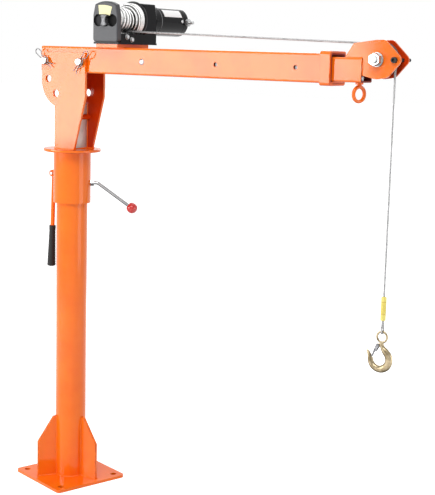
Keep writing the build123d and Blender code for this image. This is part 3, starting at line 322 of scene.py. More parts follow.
def mark_shade_between_turns(rope, places):
    """Marks how deep each point of a wound rope lies between the turns, where shade is painted."""
    nearest = KDTree(len(places))
    for index, place in enumerate(places):
        nearest.insert(place, index)
    nearest.balance()
    marks = rope.data.attributes.new("under", "FLOAT", "POINT").data
    for vertex, mark in zip(rope.data.vertices, marks):
        middle = nearest.find(vertex.co)[0]
        out = Vector((middle.x - drum_axis.x, 0, middle.z - drum_axis.z)).normalized()
        height = (vertex.co - middle).dot(out) / (ROPE_DIAMETER / 2)
        mark.value = min(1.0, max(0.0, UNSHADED_ABOVE - height))


wound_points = read_route("wound_route", wound_route, WOUND_STEPS)
rope_wound = laid_rope("rope_on_drum", wound_points)
mark_shade_between_turns(rope_wound, wound_points)
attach(rope_wound, "drum")
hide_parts("wound_rope")

# %% [markdown]
# ## Shader maths
# A finish is a small network of nodes. Written node by node it is long and hard to read, so one class wraps
# a socket: sums and products of sockets add Math nodes, and one method makes any other node.

# %% Shader maths


class Wire:
    """An output socket in a material, which takes part in sums and products."""

    def __init__(self, tree, socket=None):
        self.tree = tree
        self.socket = socket

    def node(self, kind, settings, sockets, outlet=0):
        """A new node: its settings first, then the values or wires of its sockets."""
        made = self.tree.nodes.new(kind)
        for name, value in settings.items():
            setattr(made, name, value)
        for name, value in sockets.items():
            if isinstance(value, Wire):
                self.tree.links.new(value.socket, made.inputs[name])
            else:
                made.inputs[name].default_value = value
        return Wire(self.tree, made.outputs[outlet] if made.outputs else None)

    def math(self, operation, first, second):
        """A Math node on two values or wires."""
        return self.node("ShaderNodeMath", {"operation": operation}, {0: first, 1: second})

    def __add__(self, other):
        return self.math("ADD", self, other)

    def __radd__(self, other):
        return self.math("ADD", other, self)

    def __sub__(self, other):
        return self.math("SUBTRACT", self, other)

    def __rsub__(self, other):
        return self.math("SUBTRACT", other, self)

    def __mul__(self, other):
        return self.math("MULTIPLY", self, other)

    def __rmul__(self, other):
        return self.math("MULTIPLY", other, self)


print("made the class", Wire.__name__)

# %% Start and end of a finish


def new_finish(name):
    """An empty material and the wire that its nodes start from."""
    material = bpy.data.materials.new(name)
    material.use_nodes = True
    material.node_tree.nodes.clear()
    return material, Wire(material.node_tree)


def close_finish(start, sockets):
    """The one shader of a material."""
    shader = start.node("ShaderNodeBsdfPrincipled", {}, sockets)
    start.node("ShaderNodeOutputMaterial", {}, {"Surface": shader})


print("a finish starts with", new_finish.__name__, "and ends with", close_finish.__name__)

# %% Patterns and colours
# A Mix node has sockets for each kind of data. These are the numbers of those for colours.
MIX_FACTOR = 0
MIX_LOW = 6
MIX_HIGH = 7
MIX_RESULT = 2


def speckle(start, scale, detail=3.0, roughness=0.55, stretch=(1, 1, 1)):
    """Noise from 0 to 1 on the piece's own coordinates. Scale is in spots for each metre."""
    place = start.node("ShaderNodeTexCoord", {}, {}, "Object")
    place = start.node("ShaderNodeMapping", {}, {"Vector": place, "Scale": stretch})
    sockets = {"Vector": place, "Scale": scale, "Detail": detail, "Roughness": roughness}
    return start.node("ShaderNodeTexNoise", {}, sockets)


def between(value, low, high):
    """0 below low, 1 above high and a soft step between them."""
    settings = {"interpolation_type": "SMOOTHSTEP"}
    return value.node("ShaderNodeMapRange", settings, {"Value": value, "From Min": low, "From Max": high})


def colour_socket(colour):
    """A colour for a socket: a wire as it is, and three numbers with a full alpha."""
    return colour if isinstance(colour, Wire) else (*colour, 1)


def tint(factor, low, high):
    """A colour between two colours."""
    sockets = {MIX_FACTOR: factor, MIX_LOW: colour_socket(low), MIX_HIGH: colour_socket(high)}
    return factor.node("ShaderNodeMix", {"data_type": "RGBA"}, sockets, MIX_RESULT)


def relief(height, distance, strength):
    """A normal that follows a height."""
    return height.node("ShaderNodeBump", {}, {"Height": height, "Distance": distance, "Strength": strength})


def edge_mask(start):
    """1 on the faces that rounding an edge has made."""
    return start.node("ShaderNodeAttribute", {"attribute_name": "edge"}, {}, "Fac")


def under_mask(start):
    """From 0 on upright surfaces to 1 on those that look straight down, or lie deep between turns of rope,
    for painted shade.
    """
    return start.node("ShaderNodeAttribute", {"attribute_name": "under"}, {}, "Fac")


print("patterns and colours ready")

# %% [markdown]
# ## Powder coat
# The steelwork is powder coated in orange. Powder flows into a fine orange peel and draws thin on edges, so
# the finish has two sizes of bump, a faint change of shade, and edges where the dark steel shows through.
# Undersides are painted darker as shade. The coat is deep orange and glossy, so the post's foot mirrors the
# base plate and a bright panel shows as sheen. Between the cheeks the faces that look at the boom are
# painted deep red and less glossy, as painted shade.

# %% Powder coat
ORANGE = (0.88, 0.165, 0.005)
ORANGE_DEEP = (0.84, 0.135, 0.004)
# Dark colour of thin edges, also used as painted shade on undersides.
ORANGE_EDGE_AND_SHADE = (0.36, 0.045, 0.004)
# Deep red for the faces between the cheeks and for the cross bar, as painted shade there.
INNER_SHADE_RED = (0.64, 0.046, 0.003)
INNER_SHADE_DEEP = (0.54, 0.034, 0.002)
COAT_GLOSS = 0.30
INNER_GLOSS = 0.12
COAT_ROUGHNESS = 0.07
DRIFT_SPOTS = 9.0
DRIFT_ROUGHNESS = 0.05
PEEL_SPOTS = 420.0
PEEL_HEIGHT = 0.00005
PEEL_STRENGTH = 0.3
DUST_SPOTS = 1500.0
DUST_SHARE = 0.3
THIN_SPOTS = 60.0
THIN_PATCH = (0.35, 0.7)
EDGE_SHADE = 0.8
EDGE_ROUGHNESS = 0.10
LOOKS_DOWN = (0.5, 0.9)
UNDERSIDE_SHADE = 0.65


def powder_coat(name, colour, deep, gloss):
    """A smooth powder coat with a faint orange peel, thin on edges, and painted darker on undersides as
    shade.
    """
    material, start = new_finish(name)
    drift = speckle(start, DRIFT_SPOTS)
    peel = speckle(start, PEEL_SPOTS, detail=2.0)
    dust = speckle(start, DUST_SPOTS, detail=1.0)
    edge = edge_mask(start) * between(speckle(start, THIN_SPOTS), *THIN_PATCH)
    # Painted shade: faces that look down take the dark edge colour.
    underside_shade = between(under_mask(start), *LOOKS_DOWN)
    darkened = edge.math("MAXIMUM", edge * EDGE_SHADE, underside_shade * UNDERSIDE_SHADE)
    body = tint(between(drift, *THIN_PATCH), colour, deep)
    close_finish(
        start,
        {
            "Base Color": tint(darkened, body, ORANGE_EDGE_AND_SHADE),
            "Roughness": COAT_ROUGHNESS + DRIFT_ROUGHNESS * drift + EDGE_ROUGHNESS * edge,
            "Normal": relief(peel + DUST_SHARE * dust, PEEL_HEIGHT, PEEL_STRENGTH),
            "Specular IOR Level": gloss,
        },
    )
    return material


orange_coat = powder_coat("orange_powder_coat", ORANGE, ORANGE_DEEP, COAT_GLOSS)
shade_coat = powder_coat("painted_shade_inner_coat", INNER_SHADE_RED, INNER_SHADE_DEEP, INNER_GLOSS)
print("made", orange_coat.name, "and", shade_coat.name)

# %% [markdown]
# ## Metals
# Zinc plate, chrome, spring wire, cast steel and bronze are all metals whose shade and gloss change a little
# from place to place, and whose edges hold a dark film of oil and dirt. Their undersides take the same dark
# colour as painted shade. One function makes them, with the size of the patches and the direction of their
# grain.

# %% A metal
CLOUD_PATCH = (0.3, 0.75)
CLOUD_ROUGHNESS = 0.12
SCRATCH_SPOTS = 900.0
SCRATCH_BREAKS = 0.7
SCRATCH_DEPTH = 0.00005
SCRATCH_STRENGTH = 0.35
SCRATCH_ROUGHNESS = 0.10
FILM_SPOTS = 200.0
FILM_PATCH = (0.25, 0.5)
# Painted shade on faces that look down and on rope that lies deep between turns.
SHADE_BELOW = (0.0, 0.6)
OIL_AND_SHADE_SHARE = 0.2


def metal(name, bright, dull, roughness, patch=120.0, grain=(1, 1, 1), film_and_shade=0.85):
    """A metal with cloudy patches, scratches along its grain, a dark film on edges, and painted shade on
    undersides.
    """
    material, start = new_finish(name)
    cloud = speckle(start, patch)
    scratch = speckle(start, SCRATCH_SPOTS, roughness=SCRATCH_BREAKS, stretch=grain)
    edge = edge_mask(start) * between(speckle(start, FILM_SPOTS), *FILM_PATCH)
    # The dark colour is oil and dirt on edges, and painted shade on undersides.
    dirt_and_shade = edge.math("MAXIMUM", edge, between(under_mask(start), *SHADE_BELOW))
    body = tint(between(cloud, *CLOUD_PATCH), bright, dull)
    oil_and_shade = tuple(OIL_AND_SHADE_SHARE * part for part in dull)
    close_finish(
        start,
        {
            "Base Color": tint(dirt_and_shade * film_and_shade, body, oil_and_shade),
            "Metallic": 1.0,
            "Roughness": roughness + CLOUD_ROUGHNESS * cloud + SCRATCH_ROUGHNESS * scratch,
            "Normal": relief(scratch, SCRATCH_DEPTH, SCRATCH_STRENGTH),
        },
    )
    return material


zinc = metal("zinc_plate", (0.66, 0.66, 0.66), (0.42, 0.43, 0.44), 0.20, 150.0)
print("made", zinc.name)

# %% The other metals
# Dull zinc for the latch parts; on the eye nut in the boom's open end it is painted shade.
dull_zinc_and_shade = metal("dull_zinc_and_shade", (0.30, 0.30, 0.31), (0.16, 0.16, 0.17), 0.30, 150.0)
web_steel = metal("galvanised_web", (0.66, 0.60, 0.55), (0.52, 0.47, 0.43), 0.42, 40.0)
chrome = metal("chrome_rod", (0.42, 0.42, 0.42), (0.32, 0.32, 0.33), 0.10, 90.0, grain=(1, 1, 6), film_and_shade=0.97)
cast_steel = metal("cast_steel_knob", (0.20, 0.20, 0.205), (0.09, 0.09, 0.095), 0.48, 220.0)
spring_wire = metal("spring_wire", (0.22, 0.22, 0.22), (0.10, 0.10, 0.10), 0.24)
bronze = metal("bronze_bush", (0.58, 0.37, 0.17), (0.42, 0.26, 0.11), 0.30)
# The sheave's iron is made this dark as painted shade between the cheeks.
sheave_iron = metal("dark_sheave", (0.12, 0.11, 0.10), (0.06, 0.055, 0.05), 0.36, 60.0, grain=(1, 8, 1))
rope_steel = metal("rope_strands", (0.42, 0.42, 0.42), (0.24, 0.24, 0.245), 0.34, 300.0)
gold_zinc = metal("yellow_zinc_hook", (0.42, 0.345, 0.225), (0.18, 0.14, 0.078), 0.20, 90.0)
# The wound rope takes a much brighter copy of the rope steel, as painted light.
lit_rope = metal("lit_rope_strands", (0.86, 0.86, 0.85), (0.62, 0.62, 0.62), 0.28, 300.0)
for rope in (rope_run, rope_wrap, rope_drop, rope_eye):
    rope.data.materials.append(rope_steel)
rope_wound.data.materials.append(lit_rope)
print("made ten more metals")

# %% [markdown]
# ## Paints, plastic and rubber
# The winch is painted: slate on the gear case, gloss black on the motor. Paint, plastic and rubber differ in
# gloss and in the size of their bumps, so one function makes them too.

# %% A coating
TONE_SPOTS = 25.0
TONE_SHARE = 0.15
TONE_ROUGHNESS = 0.10
GRIT_STRENGTH = 0.5
GRIT_ROUGHNESS = 0.06
RUBBED_SPOTS = 90.0
RUBBED_PATCH = (0.4, 0.75)
RUBBED_SHARE = 0.7
LACQUER_ROUGHNESS = 0.06


def coating(name, colour, worn, roughness, grit=600.0, depth=0.00006, gloss=0.25, lacquer=0.0):
    """A paint, plastic or rubber with fine grit and edges rubbed to another colour."""
    material, start = new_finish(name)
    tone = speckle(start, TONE_SPOTS)
    grain = speckle(start, grit, detail=2.0)
    edge = edge_mask(start) * between(speckle(start, RUBBED_SPOTS), *RUBBED_PATCH)
    close_finish(
        start,
        {
            "Base Color": tint(edge * RUBBED_SHARE + TONE_SHARE * tone, colour, worn),
            "Roughness": roughness + TONE_ROUGHNESS * tone + GRIT_ROUGHNESS * grain,
            "Normal": relief(grain, depth, GRIT_STRENGTH),
            "Specular IOR Level": gloss,
            "Coat Weight": lacquer,
            "Coat Roughness": LACQUER_ROUGHNESS,
        },
    )
    return material


slate_paint = coating("slate_paint", (0.045, 0.046, 0.050), (0.16, 0.16, 0.17), 0.34, 900.0, gloss=0.3)
print("made", slate_paint.name)

# %% The other coatings
SMOOTH = {"grit": 300.0, "depth": 0.00002}
black_paint = coating(
    "black_gloss_paint", (0.004, 0.004, 0.005), (0.03, 0.03, 0.03), 0.08, gloss=0.10, **SMOOTH
)
# Painted shade for recesses: dark slate and black.
painted_shade_slate = coating("painted_shade_slate_hollow", (0.014, 0.014, 0.016), (0.03, 0.03, 0.03), 0.45, gloss=0.15)
painted_shade_black = coating("painted_shade_black_hollow", (0.004, 0.004, 0.004), (0.012, 0.012, 0.012), 0.5, gloss=0.1)
black_steel = coating("black_oxide", (0.012, 0.012, 0.013), (0.10, 0.10, 0.10), 0.34)
rubber = coating("black_rubber", (0.014, 0.013, 0.013), (0.05, 0.05, 0.05), 0.55, 1200.0)
red_plastic = coating(
    "red_ball_plastic", (0.50, 0.018, 0.016), (0.58, 0.05, 0.04), 0.18, gloss=0.3, lacquer=0.5, **SMOOTH
)
nylon = coating("white_nylon", (0.74, 0.72, 0.66), (0.80, 0.78, 0.72), 0.45)
cream_plate = coating("cream_blank_plate", (0.74, 0.70, 0.40), (0.80, 0.77, 0.55), 0.35)
white_plate = coating("white_blank_plate", (0.84, 0.84, 0.84), (0.88, 0.88, 0.88), 0.30)
# A red primer for the inside of the boom's tubes, kept dark as painted shade.
primer_and_shade_inside = coating("red_primer_and_shade_inside", (0.26, 0.06, 0.05), (0.32, 0.09, 0.07), 0.6, gloss=0.1)
print("made ten more coatings")

# %% [markdown]
# ## Shrink sleeve
# The rope's end is closed by a yellow shrink sleeve. Its middle is drawn tight over the clamp inside, so it
# is deeper in colour there and has a crease at each end of that part, painted darker as shade. Height along
# the sleeve decides, and a smooth step times one minus itself is a bump that marks the crease. It is a
# quarter high, hence the four.

# %% Shrink sleeve
SLEEVE_PALE = (0.80, 0.69, 0.19)
SLEEVE_DEEP = (0.70, 0.54, 0.09)
# Painted shade in the creases.
SLEEVE_CREASE_SHADE = (0.52, 0.30, 0.04)
TIGHT_PART = (0.28, 0.79)
CREASE_HALF = 0.0012
CREASE_DEPTH = 0.0003
CREASE_STRENGTH = 0.6
CREASE_SHADE_SHARE = 0.8
SLEEVE_SPOTS = 90.0
SLEEVE_ROUGHNESS = 0.34
SLEEVE_GLOSS = 0.3


def shrink_sleeve(name, low, high):
    """A yellow sleeve between two heights, with a tight middle part."""
    material, start = new_finish(name)
    place = start.node("ShaderNodeTexCoord", {}, {}, "Object")
    height = start.node("ShaderNodeSeparateXYZ", {}, {0: place}, "Z")
    foot, top = (low + share * (high - low) for share in TIGHT_PART)
    above_foot = between(height, foot - CREASE_HALF, foot + CREASE_HALF)
    above_top = between(height, top - CREASE_HALF, top + CREASE_HALF)
    tight = above_foot * (1.0 - above_top)
    crease = 4.0 * tight * (1.0 - tight)
    cloud = speckle(start, SLEEVE_SPOTS)
    body = tint(tight, SLEEVE_PALE, tint(cloud, SLEEVE_DEEP, SLEEVE_PALE))
    close_finish(
        start,
        {
            "Base Color": tint(crease * CREASE_SHADE_SHARE, body, SLEEVE_CREASE_SHADE),
            "Roughness": SLEEVE_ROUGHNESS + CLOUD_ROUGHNESS * cloud,
            "Normal": relief(crease, CREASE_DEPTH, CREASE_STRENGTH),
            "Specular IOR Level": SLEEVE_GLOSS,
        },
    )
    return material


sleeve_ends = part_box("rope_sleeve")
yellow_sleeve = shrink_sleeve("yellow_sleeve", sleeve_ends[0].z, sleeve_ends[1].z)
print("made", yellow_sleeve.name)

# %% [markdown]
# ## Rounded edges
# A CAD part has knife-sharp edges, and nothing real has: a small round on each edge catches the light and
# makes the part read as metal. The part's mesh is loose triangles, so a copy is merged, its flat faces are
# joined, and each edge that turns sharply is bevelled. A Bevel modifier would round the edges too, but the
# operator also gives back the new faces, so they can be marked for the finishes.
# Some parts show more than one finish, such as a tube that is painted outside only, so a test can pick a
# finish for each face by its place.

# %% Rounded edges
MERGE_DISTANCE = 1e-6
FLAT_ANGLE = radians(0.5)
SHARP_ANGLE = radians(32)


def merged_copy(node):
    """A CAD node's mesh as a bmesh with its triangles joined."""
    mesh = bmesh.new()
    mesh.from_mesh(nodes[node].data)
    bmesh.ops.remove_doubles(mesh, verts=mesh.verts, dist=MERGE_DISTANCE)
    bmesh.ops.dissolve_limit(mesh, angle_limit=FLAT_ANGLE, verts=mesh.verts, edges=mesh.edges)
    return mesh


def is_sharp(edge):
    """Whether the two faces of an edge meet at a sharp angle."""
    return len(edge.link_faces) == 2 and edge.calc_face_angle() > SHARP_ANGLE


def round_edges(mesh, width, segments):
    """Bevels the sharp edges and marks the new faces."""
    mark = mesh.faces.layers.float.new("edge")
    made = bmesh.ops.bevel(
        mesh,
        geom=[edge for edge in mesh.edges if is_sharp(edge)],
        offset=width,
        offset_type="OFFSET",
        affect="EDGES",
        segments=segments,
        profile=0.5,
        material=-1,
        clamp_overlap=True,
    )
    for face in made["faces"]:
        face[mark] = 1.0


def mark_undersides(mesh):
    """Marks how far each point looks down, for painted shade on undersides."""
    mark = mesh.verts.layers.float.new("under")
    mesh.normal_update()
    for point in mesh.verts:
        point[mark] = max(0.0, -point.normal.z)


print("edges are rounded from", round(SHARP_ANGLE, 3), "radians")

# %% Finished pieces
body_of = {node: body for body, held in frame["record"]["behaviour"]["bodies"].items() for node in held}


def add_piece(name, mesh, finish, body, replaced=()):
    """A bmesh as a smooth object that rides on a body."""
    mark_undersides(mesh)
    data = bpy.data.meshes.new(name)
    mesh.to_mesh(data)
    mesh.free()
    for polygon in data.polygons:
        polygon.use_smooth = True
    data.materials.append(finish)
    made = bpy.data.objects.new(name, data)
    scene.collection.objects.link(made)
    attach(made, body)
    if replaced:
        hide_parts(*replaced)
    normals = made.modifiers.new("even_normals", "WEIGHTED_NORMAL")
    normals.keep_sharp = False
    return made


def dress(node, finish, slot, width, segments=2, others=(), picked=None):
    """Stands a rounded copy of a CAD node in the node's place, with other finishes on the picked faces."""
    mesh = merged_copy(node)
    round_edges(mesh, width, segments)
    if picked:
        for face in mesh.faces:
            face.material_index = int(picked(face.calc_center_median()))
    made = add_piece(node + "_finished", mesh, finish, body_of[node], [node])
    for other in others:
        made.data.materials.append(other)
    return made


print("bodies that pieces ride on:", len(set(body_of.values())))

# %% [markdown]
# ## Steelwork
# Plates, tubes and cheeks get the orange coat. Thick plate has a rounder edge than tube ends. The spray
# hardly reaches into the boom's tubes, so these show a red primer, kept dark as painted shade, and the walls
# of their holes are painted black as shade. The cheeks have the deep red painted shade on the side that faces
# the boom. Each finish could be a piece of its own, but a finish picked by place keeps a part whole.

# %% Which faces are inside
INSIDE_SHARE_OF_TUBE = 0.93
FACE_MARGIN = 0.0004
HOLE_EDGE = 0.0008
HOLE_REACH = 0.0085


def inside_of(node):
    """A test for points on a square tube along the boom: 1 inside it, 2 in a hole through its sides."""
    low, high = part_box(node)
    middle = (low + high) / 2
    half = (high.z - low.z) / 2
    reach = half * INSIDE_SHARE_OF_TUBE

    def picked(point):
        beside = abs(point.y - middle.y)
        above = abs(point.z - middle.z)
        if beside < reach and above < reach:
            return 1
        if beside < half - HOLE_EDGE and above < HOLE_REACH:
            return 2
        return 0

    return picked


def facing_inwards(node):
    """A test for points on the side of a cheek that faces the middle of the boom."""
    low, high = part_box(node)
    inner = low.y if low.y > 0 else high.y

    def picked(point):
        return abs(point.y - inner) < FACE_MARGIN

    return picked


print("faces inside a tube reach", INSIDE_SHARE_OF_TUBE, "of its half width")

# %% Steelwork
PLATE_EDGE = 0.0015
TUBE_EDGE = 0.0010
plates = "base_plate base_gussets sleeve_flange winch_plate boom_collar handle_bracket eye_bolt"
tubes = "post_tube swivel_sleeve handle_rod"
cheeks = "near_cheek far_cheek near_tip_cheek far_tip_cheek"
steelwork = [dress(node, orange_coat, "orange_coat", PLATE_EDGE) for node in plates.split()]
steelwork += [dress(node, orange_coat, "orange_coat", TUBE_EDGE) for node in tubes.split()]
for node in ("outer_boom", "inner_boom"):
    # Painted shade inside the tubes: dark primer, and black walls in the holes.
    inside_finishes = {"others": (primer_and_shade_inside, painted_shade_black), "picked": inside_of(node)}
    steelwork.append(dress(node, orange_coat, "orange_coat", TUBE_EDGE, **inside_finishes))
# The cheeks' faces that look at the boom, and the cross bar below, take the deep red painted shade.
for node in cheeks.split():
    darkened = {"others": (shade_coat,), "picked": facing_inwards(node)}
    steelwork.append(dress(node, orange_coat, "orange_coat", PLATE_EDGE, **darkened))
steelwork.append(dress("head_cross_bar", shade_coat, "orange_coat", TUBE_EDGE))
dress("head_web", web_steel, "zinc", PLATE_EDGE)
print("steelwork pieces:", len(steelwork), "faces:", sum(len(piece.data.polygons) for piece in steelwork))

# %% [markdown]
# ## Fasteners and bright rods
# Pins, washers, screws and most nuts are zinc plated, the keeper bolt is black, the clutch knob is cast
# steel, the pins' clips are bare spring wire, and the lock lever and its nut are chromed. One grey metal for
# all would be quicker, but plated, black, bare and chromed steel look quite different side by side.

# %% Fasteners and rods
SMALL_EDGE = 0.0005
FINE_EDGE = 0.0003
NUT_EDGE = 0.0011
plated = "pivot_pin tilt_pin sheave_axle axle_washers winch_bolts tray_screws handle_pin motor_terminals"
fasteners = [dress(node, zinc, "zinc", SMALL_EDGE) for node in plated.split()]
fasteners.append(dress("axle_nut", zinc, "zinc", NUT_EDGE))
# The eye nut's dull zinc is painted shade in the boom's open end.
fasteners += [dress(node, dull_zinc_and_shade, "zinc", SMALL_EDGE) for node in ("eye_nut", "latch_pin")]
fasteners.append(dress("clutch_knob", cast_steel, "zinc", NUT_EDGE))
fasteners += [dress(node, black_steel, "black_steel", SMALL_EDGE) for node in ("keeper_bolt", "keeper_nut")]
fasteners.append(dress("pin_clips", spring_wire, "spring_steel", FINE_EDGE))
fasteners += [dress(node, chrome, "chrome_rod", SMALL_EDGE) for node in ("lock_lever", "lock_nut")]
print("fasteners and rods:", len(fasteners))

# %% [markdown]
# ## Winch, sheave and hook
# The painted housings of the winch, the dark sheave and the forged hook. The sheave's iron is kept dark as
# painted shade between the cheeks. The finger hollows in the gear case are painted darker than the case as
# shade, black in the front one and dark slate in the rear one. Their faces are found by place. Bushes, washer
# and cap hardly show, so they keep their CAD mesh and only take a finish.

# %% Winch housings
HOUSING_EDGE = 0.0012
HOUSING_SEGMENTS = 3
HOLLOW_BOTTOM = 0.0065
HOLLOW_HALF_HEIGHT = 0.0168
HOLLOW_REACH = 0.0385
case_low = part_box("gearbox_housing")[0]
knob_low, knob_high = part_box("clutch_knob")
knob_middle = (knob_low + knob_high) / 2


def in_hollow(point):
    """1 for the walls and floor of the front finger hollow, 2 for those of the rear one."""
    beside = point.x - knob_middle.x
    deep = case_low.y + FACE_MARGIN < point.y < case_low.y + HOLLOW_BOTTOM
    within = abs(point.z - knob_middle.z) < HOLLOW_HALF_HEIGHT and abs(beside) < HOLLOW_REACH
    if not (deep and within):
        return 0
    return 1 if beside > 0 else 2


# Painted shade in the finger hollows: black in the front one, dark slate in the rear one.
hollows = (painted_shade_black, painted_shade_slate)
dress("gearbox_housing", slate_paint, "slate_paint", HOUSING_EDGE, HOUSING_SEGMENTS, hollows, in_hollow)
for node in ("winch_tray", "motor_support", "motor_can", "motor_end_cap"):
    dress(node, black_paint, "black_paint", HOUSING_EDGE, HOUSING_SEGMENTS)
print("winch housings dressed")

# %% Drum, sheave, hook and hidden parts
dress("drum", black_steel, "black_paint", SMALL_EDGE)
# Dark sheave: painted shade between the cheeks.
dress("sheave", sheave_iron, "sheave_steel", SMALL_EDGE)
dress("hook", gold_zinc, "gold_zinc", SMALL_EDGE)
dress("hook_latch", dull_zinc_and_shade, "zinc", FINE_EDGE)
dress("rope_sleeve", yellow_sleeve, "yellow_sleeve", SMALL_EDGE)
dress("lever_ball", red_plastic, "red_plastic", SMALL_EDGE)
hidden = {
    "swivel_bushes": bronze,
    "sheave_bush": bronze,
    "drum_bushes": bronze,
    "thrust_washer": nylon,
    "post_cap": orange_coat,
}
for node, finish in hidden.items():
    nodes[node].data.materials.clear()
    nodes[node].data.materials.append(finish)
print("drum, sheave and hook dressed, hidden parts:", len(hidden))

# %% [markdown]
# ## Welds
# The frame is welded from tube and plate. A fillet weld is a bead in a corner, with a ripple at each dab of
# the torch. Each seam is a line of points, the bead is a round tube on it, and the tube swells and shrinks
# from point to point. Most of the bead lies inside the plates, and only its rippled face shows. Bump along
# the joints could stand for it, but a bead also shows in the outline.

# %% Weld seams
WELD_STEP = 0.0011
RIPPLE = (1.0, 1.16, 1.22, 1.08)


def straight_seam(start, end):
    """Points along a straight seam."""
    start, end = Vector(start), Vector(end)
    count = max(2, int((end - start).length / WELD_STEP))
    return [start.lerp(end, step / count) for step in range(count + 1)]


def round_seam(radius, height):
    """Points along a seam round the post."""
    count = int(2 * pi * radius / WELD_STEP)
    turns = [2 * pi * step / count for step in range(count + 1)]
    return [Vector((radius * cos(turn), radius * sin(turn), height)) for turn in turns]


def weld(name, seams, thickness, body):
    """One object for the seams on a body."""
    made = beads(name, seams, thickness, RIPPLE)
    made.data.materials.append(orange_coat)
    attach(made, body)
    print(name, "seams", len(seams), "faces", len(made.data.polygons))


print("a weld has a point for every", WELD_STEP)

# %% Welds on the base
POST_RADIUS = 0.043
GUSSET_ANGLES = [radians(angle) for angle in (118, 238, 358)]
GUSSET_HALF = 0.004
GUSSET_REACH = 0.098
BASE_WELD = 0.0024
base_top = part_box("base_plate")[1].z
gusset_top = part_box("base_gussets")[1].z

base_seams = [round_seam(POST_RADIUS, base_top)]
for angle in GUSSET_ANGLES:
    out = Vector((cos(angle), sin(angle), 0))
    across = Vector((-sin(angle), cos(angle), 0)) * GUSSET_HALF
    for side in (-1, 1):
        root = out * POST_RADIUS + across * side
        foot = Vector((0, 0, base_top))
        base_seams.append(straight_seam(root + foot, root + Vector((0, 0, gusset_top))))
        base_seams.append(straight_seam(root + foot, out * GUSSET_REACH + across * side + foot))
weld("base_welds", base_seams, BASE_WELD, "base")

# %% Welds on the head and the boom
HEAD_WELD = 0.0022
CHEEK_FOOT = (-0.0275, 0.041)
BOOM_CORNER = 0.005
flange_low, flange_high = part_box("sleeve_flange")
near_low, near_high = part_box("near_cheek")
far_low, far_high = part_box("far_cheek")
web_low, web_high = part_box("head_web")
collar_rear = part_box("boom_collar")[0].x
boom_low, boom_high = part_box("outer_boom")
plate_low, plate_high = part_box("winch_plate")
sleeve_low, sleeve_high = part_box("swivel_sleeve")
ears_low, ears_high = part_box("handle_bracket")

head_lines = []
for y in (near_low.y, near_high.y, far_low.y, far_high.y):
    head_lines.append(((CHEEK_FOOT[0], y, flange_high.z), (CHEEK_FOOT[1], y, flange_high.z)))
for x in (web_low.x, web_high.x):
    head_lines.append(((x, web_low.y, web_low.z), (x, web_high.y, web_low.z)))
    for y in (web_low.y, web_high.y):
        head_lines.append(((x, y, web_low.z), (x, y, web_high.z)))
for y in (boom_low.y, boom_high.y):
    head_lines.append(((plate_low.x, y, plate_low.z), (plate_high.x, y, plate_low.z)))
collar_ends = (boom_low.z + BOOM_CORNER, boom_high.z - BOOM_CORNER)
for y in (boom_low.y, boom_high.y):
    head_lines.append(((collar_rear, y, collar_ends[0]), (collar_rear, y, collar_ends[1])))
collar_sides = (boom_low.y + BOOM_CORNER, boom_high.y - BOOM_CORNER)
for z in (boom_low.z, boom_high.z):
    head_lines.append(((collar_rear, collar_sides[0], z), (collar_rear, collar_sides[1], z)))
for y in (ears_low.y, ears_high.y):
    head_lines.append(((sleeve_low.x, y, ears_low.z), (sleeve_low.x, y, ears_high.z)))
head_seams = [round_seam(sleeve_high.x, flange_low.z)]
head_seams += [straight_seam(start, end) for start, end in head_lines]
weld("head_welds", head_seams, HEAD_WELD, "head")

# %% Welds on the boom's tip
TIP_WELD = 0.0016
TIP_SEAM_TOP = 0.005
TIP_SEAM_FOOT = 0.008
TIP_SEAM_REAR = 0.004
inner_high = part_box("inner_boom")[1]
tip_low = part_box("near_tip_cheek")[0]

tip_seams = []
for side in (-1, 1):
    y = side * abs(tip_low.y)
    corner = (inner_high.x, y, inner_high.z)
    upright = ((inner_high.x, y, tip_low.z + TIP_SEAM_FOOT), (inner_high.x, y, inner_high.z - TIP_SEAM_TOP))
    tip_seams.append(straight_seam(*upright))
    tip_seams.append(straight_seam((tip_low.x + TIP_SEAM_REAR, y, inner_high.z), corner))
weld("tip_welds", tip_seams, TIP_WELD, "extension")

# %% [markdown]
# ## Turned details
# Threads, screw heads and the grip are all round, so each starts as half of its outline and is spun about an
# axis. A full spin is merged where it meets itself, its doubles on the axis are merged too, and then its
# normals are recalculated. The shape is made on the Z axis and then stood where it belongs.
# A thread could be a true helix, but at this pitch rings look the same, and they close without a seam.

# %% Spun shapes
SPIN_STEPS = 40


def spun(profile):
    """A bmesh turned about Z from a line of (radius, height) points."""
    mesh = bmesh.new()
    points = [mesh.verts.new((radius, 0, height)) for radius, height in profile]
    lines = [mesh.edges.new(pair) for pair in zip(points, points[1:])]
    bmesh.ops.spin(
        mesh,
        geom=points + lines,
        cent=(0, 0, 0),
        axis=(0, 0, 1),
        dvec=(0, 0, 0),
        angle=2 * pi,
        steps=SPIN_STEPS,
        use_merge=True,
        use_normal_flip=False,
        use_duplicate=False,
    )
    bmesh.ops.remove_doubles(mesh, verts=mesh.verts, dist=MERGE_DISTANCE)
    bmesh.ops.recalc_face_normals(mesh, faces=mesh.faces)
    return mesh


def stand(mesh, place, direction):
    """Turns a spun shape from Z to a direction and moves its foot to a place."""
    turn = Vector(direction).to_track_quat("Z", "Y").to_matrix().to_4x4()
    bmesh.ops.transform(mesh, matrix=Matrix.Translation(Vector(place)) @ turn, verts=mesh.verts)
    return mesh


print("a spun shape has", SPIN_STEPS, "sides")

# %% Shape of a thread
THREAD_PROUD = 0.00035
RIDGE_SHARE = 0.3


def thread_profile(radius, length, pitch):
    """Half of a threaded rod's outline, with a ridge for each pitch."""
    root = radius - RIDGE_SHARE * pitch
    profile = [(0, 0), (root, 0)]
    for ridge in range(int(length / pitch)):
        profile.append((radius, (ridge + 0.5) * pitch))
        profile.append((root, (ridge + 1) * pitch))
    profile.append((0, profile[-1][1]))
    return profile


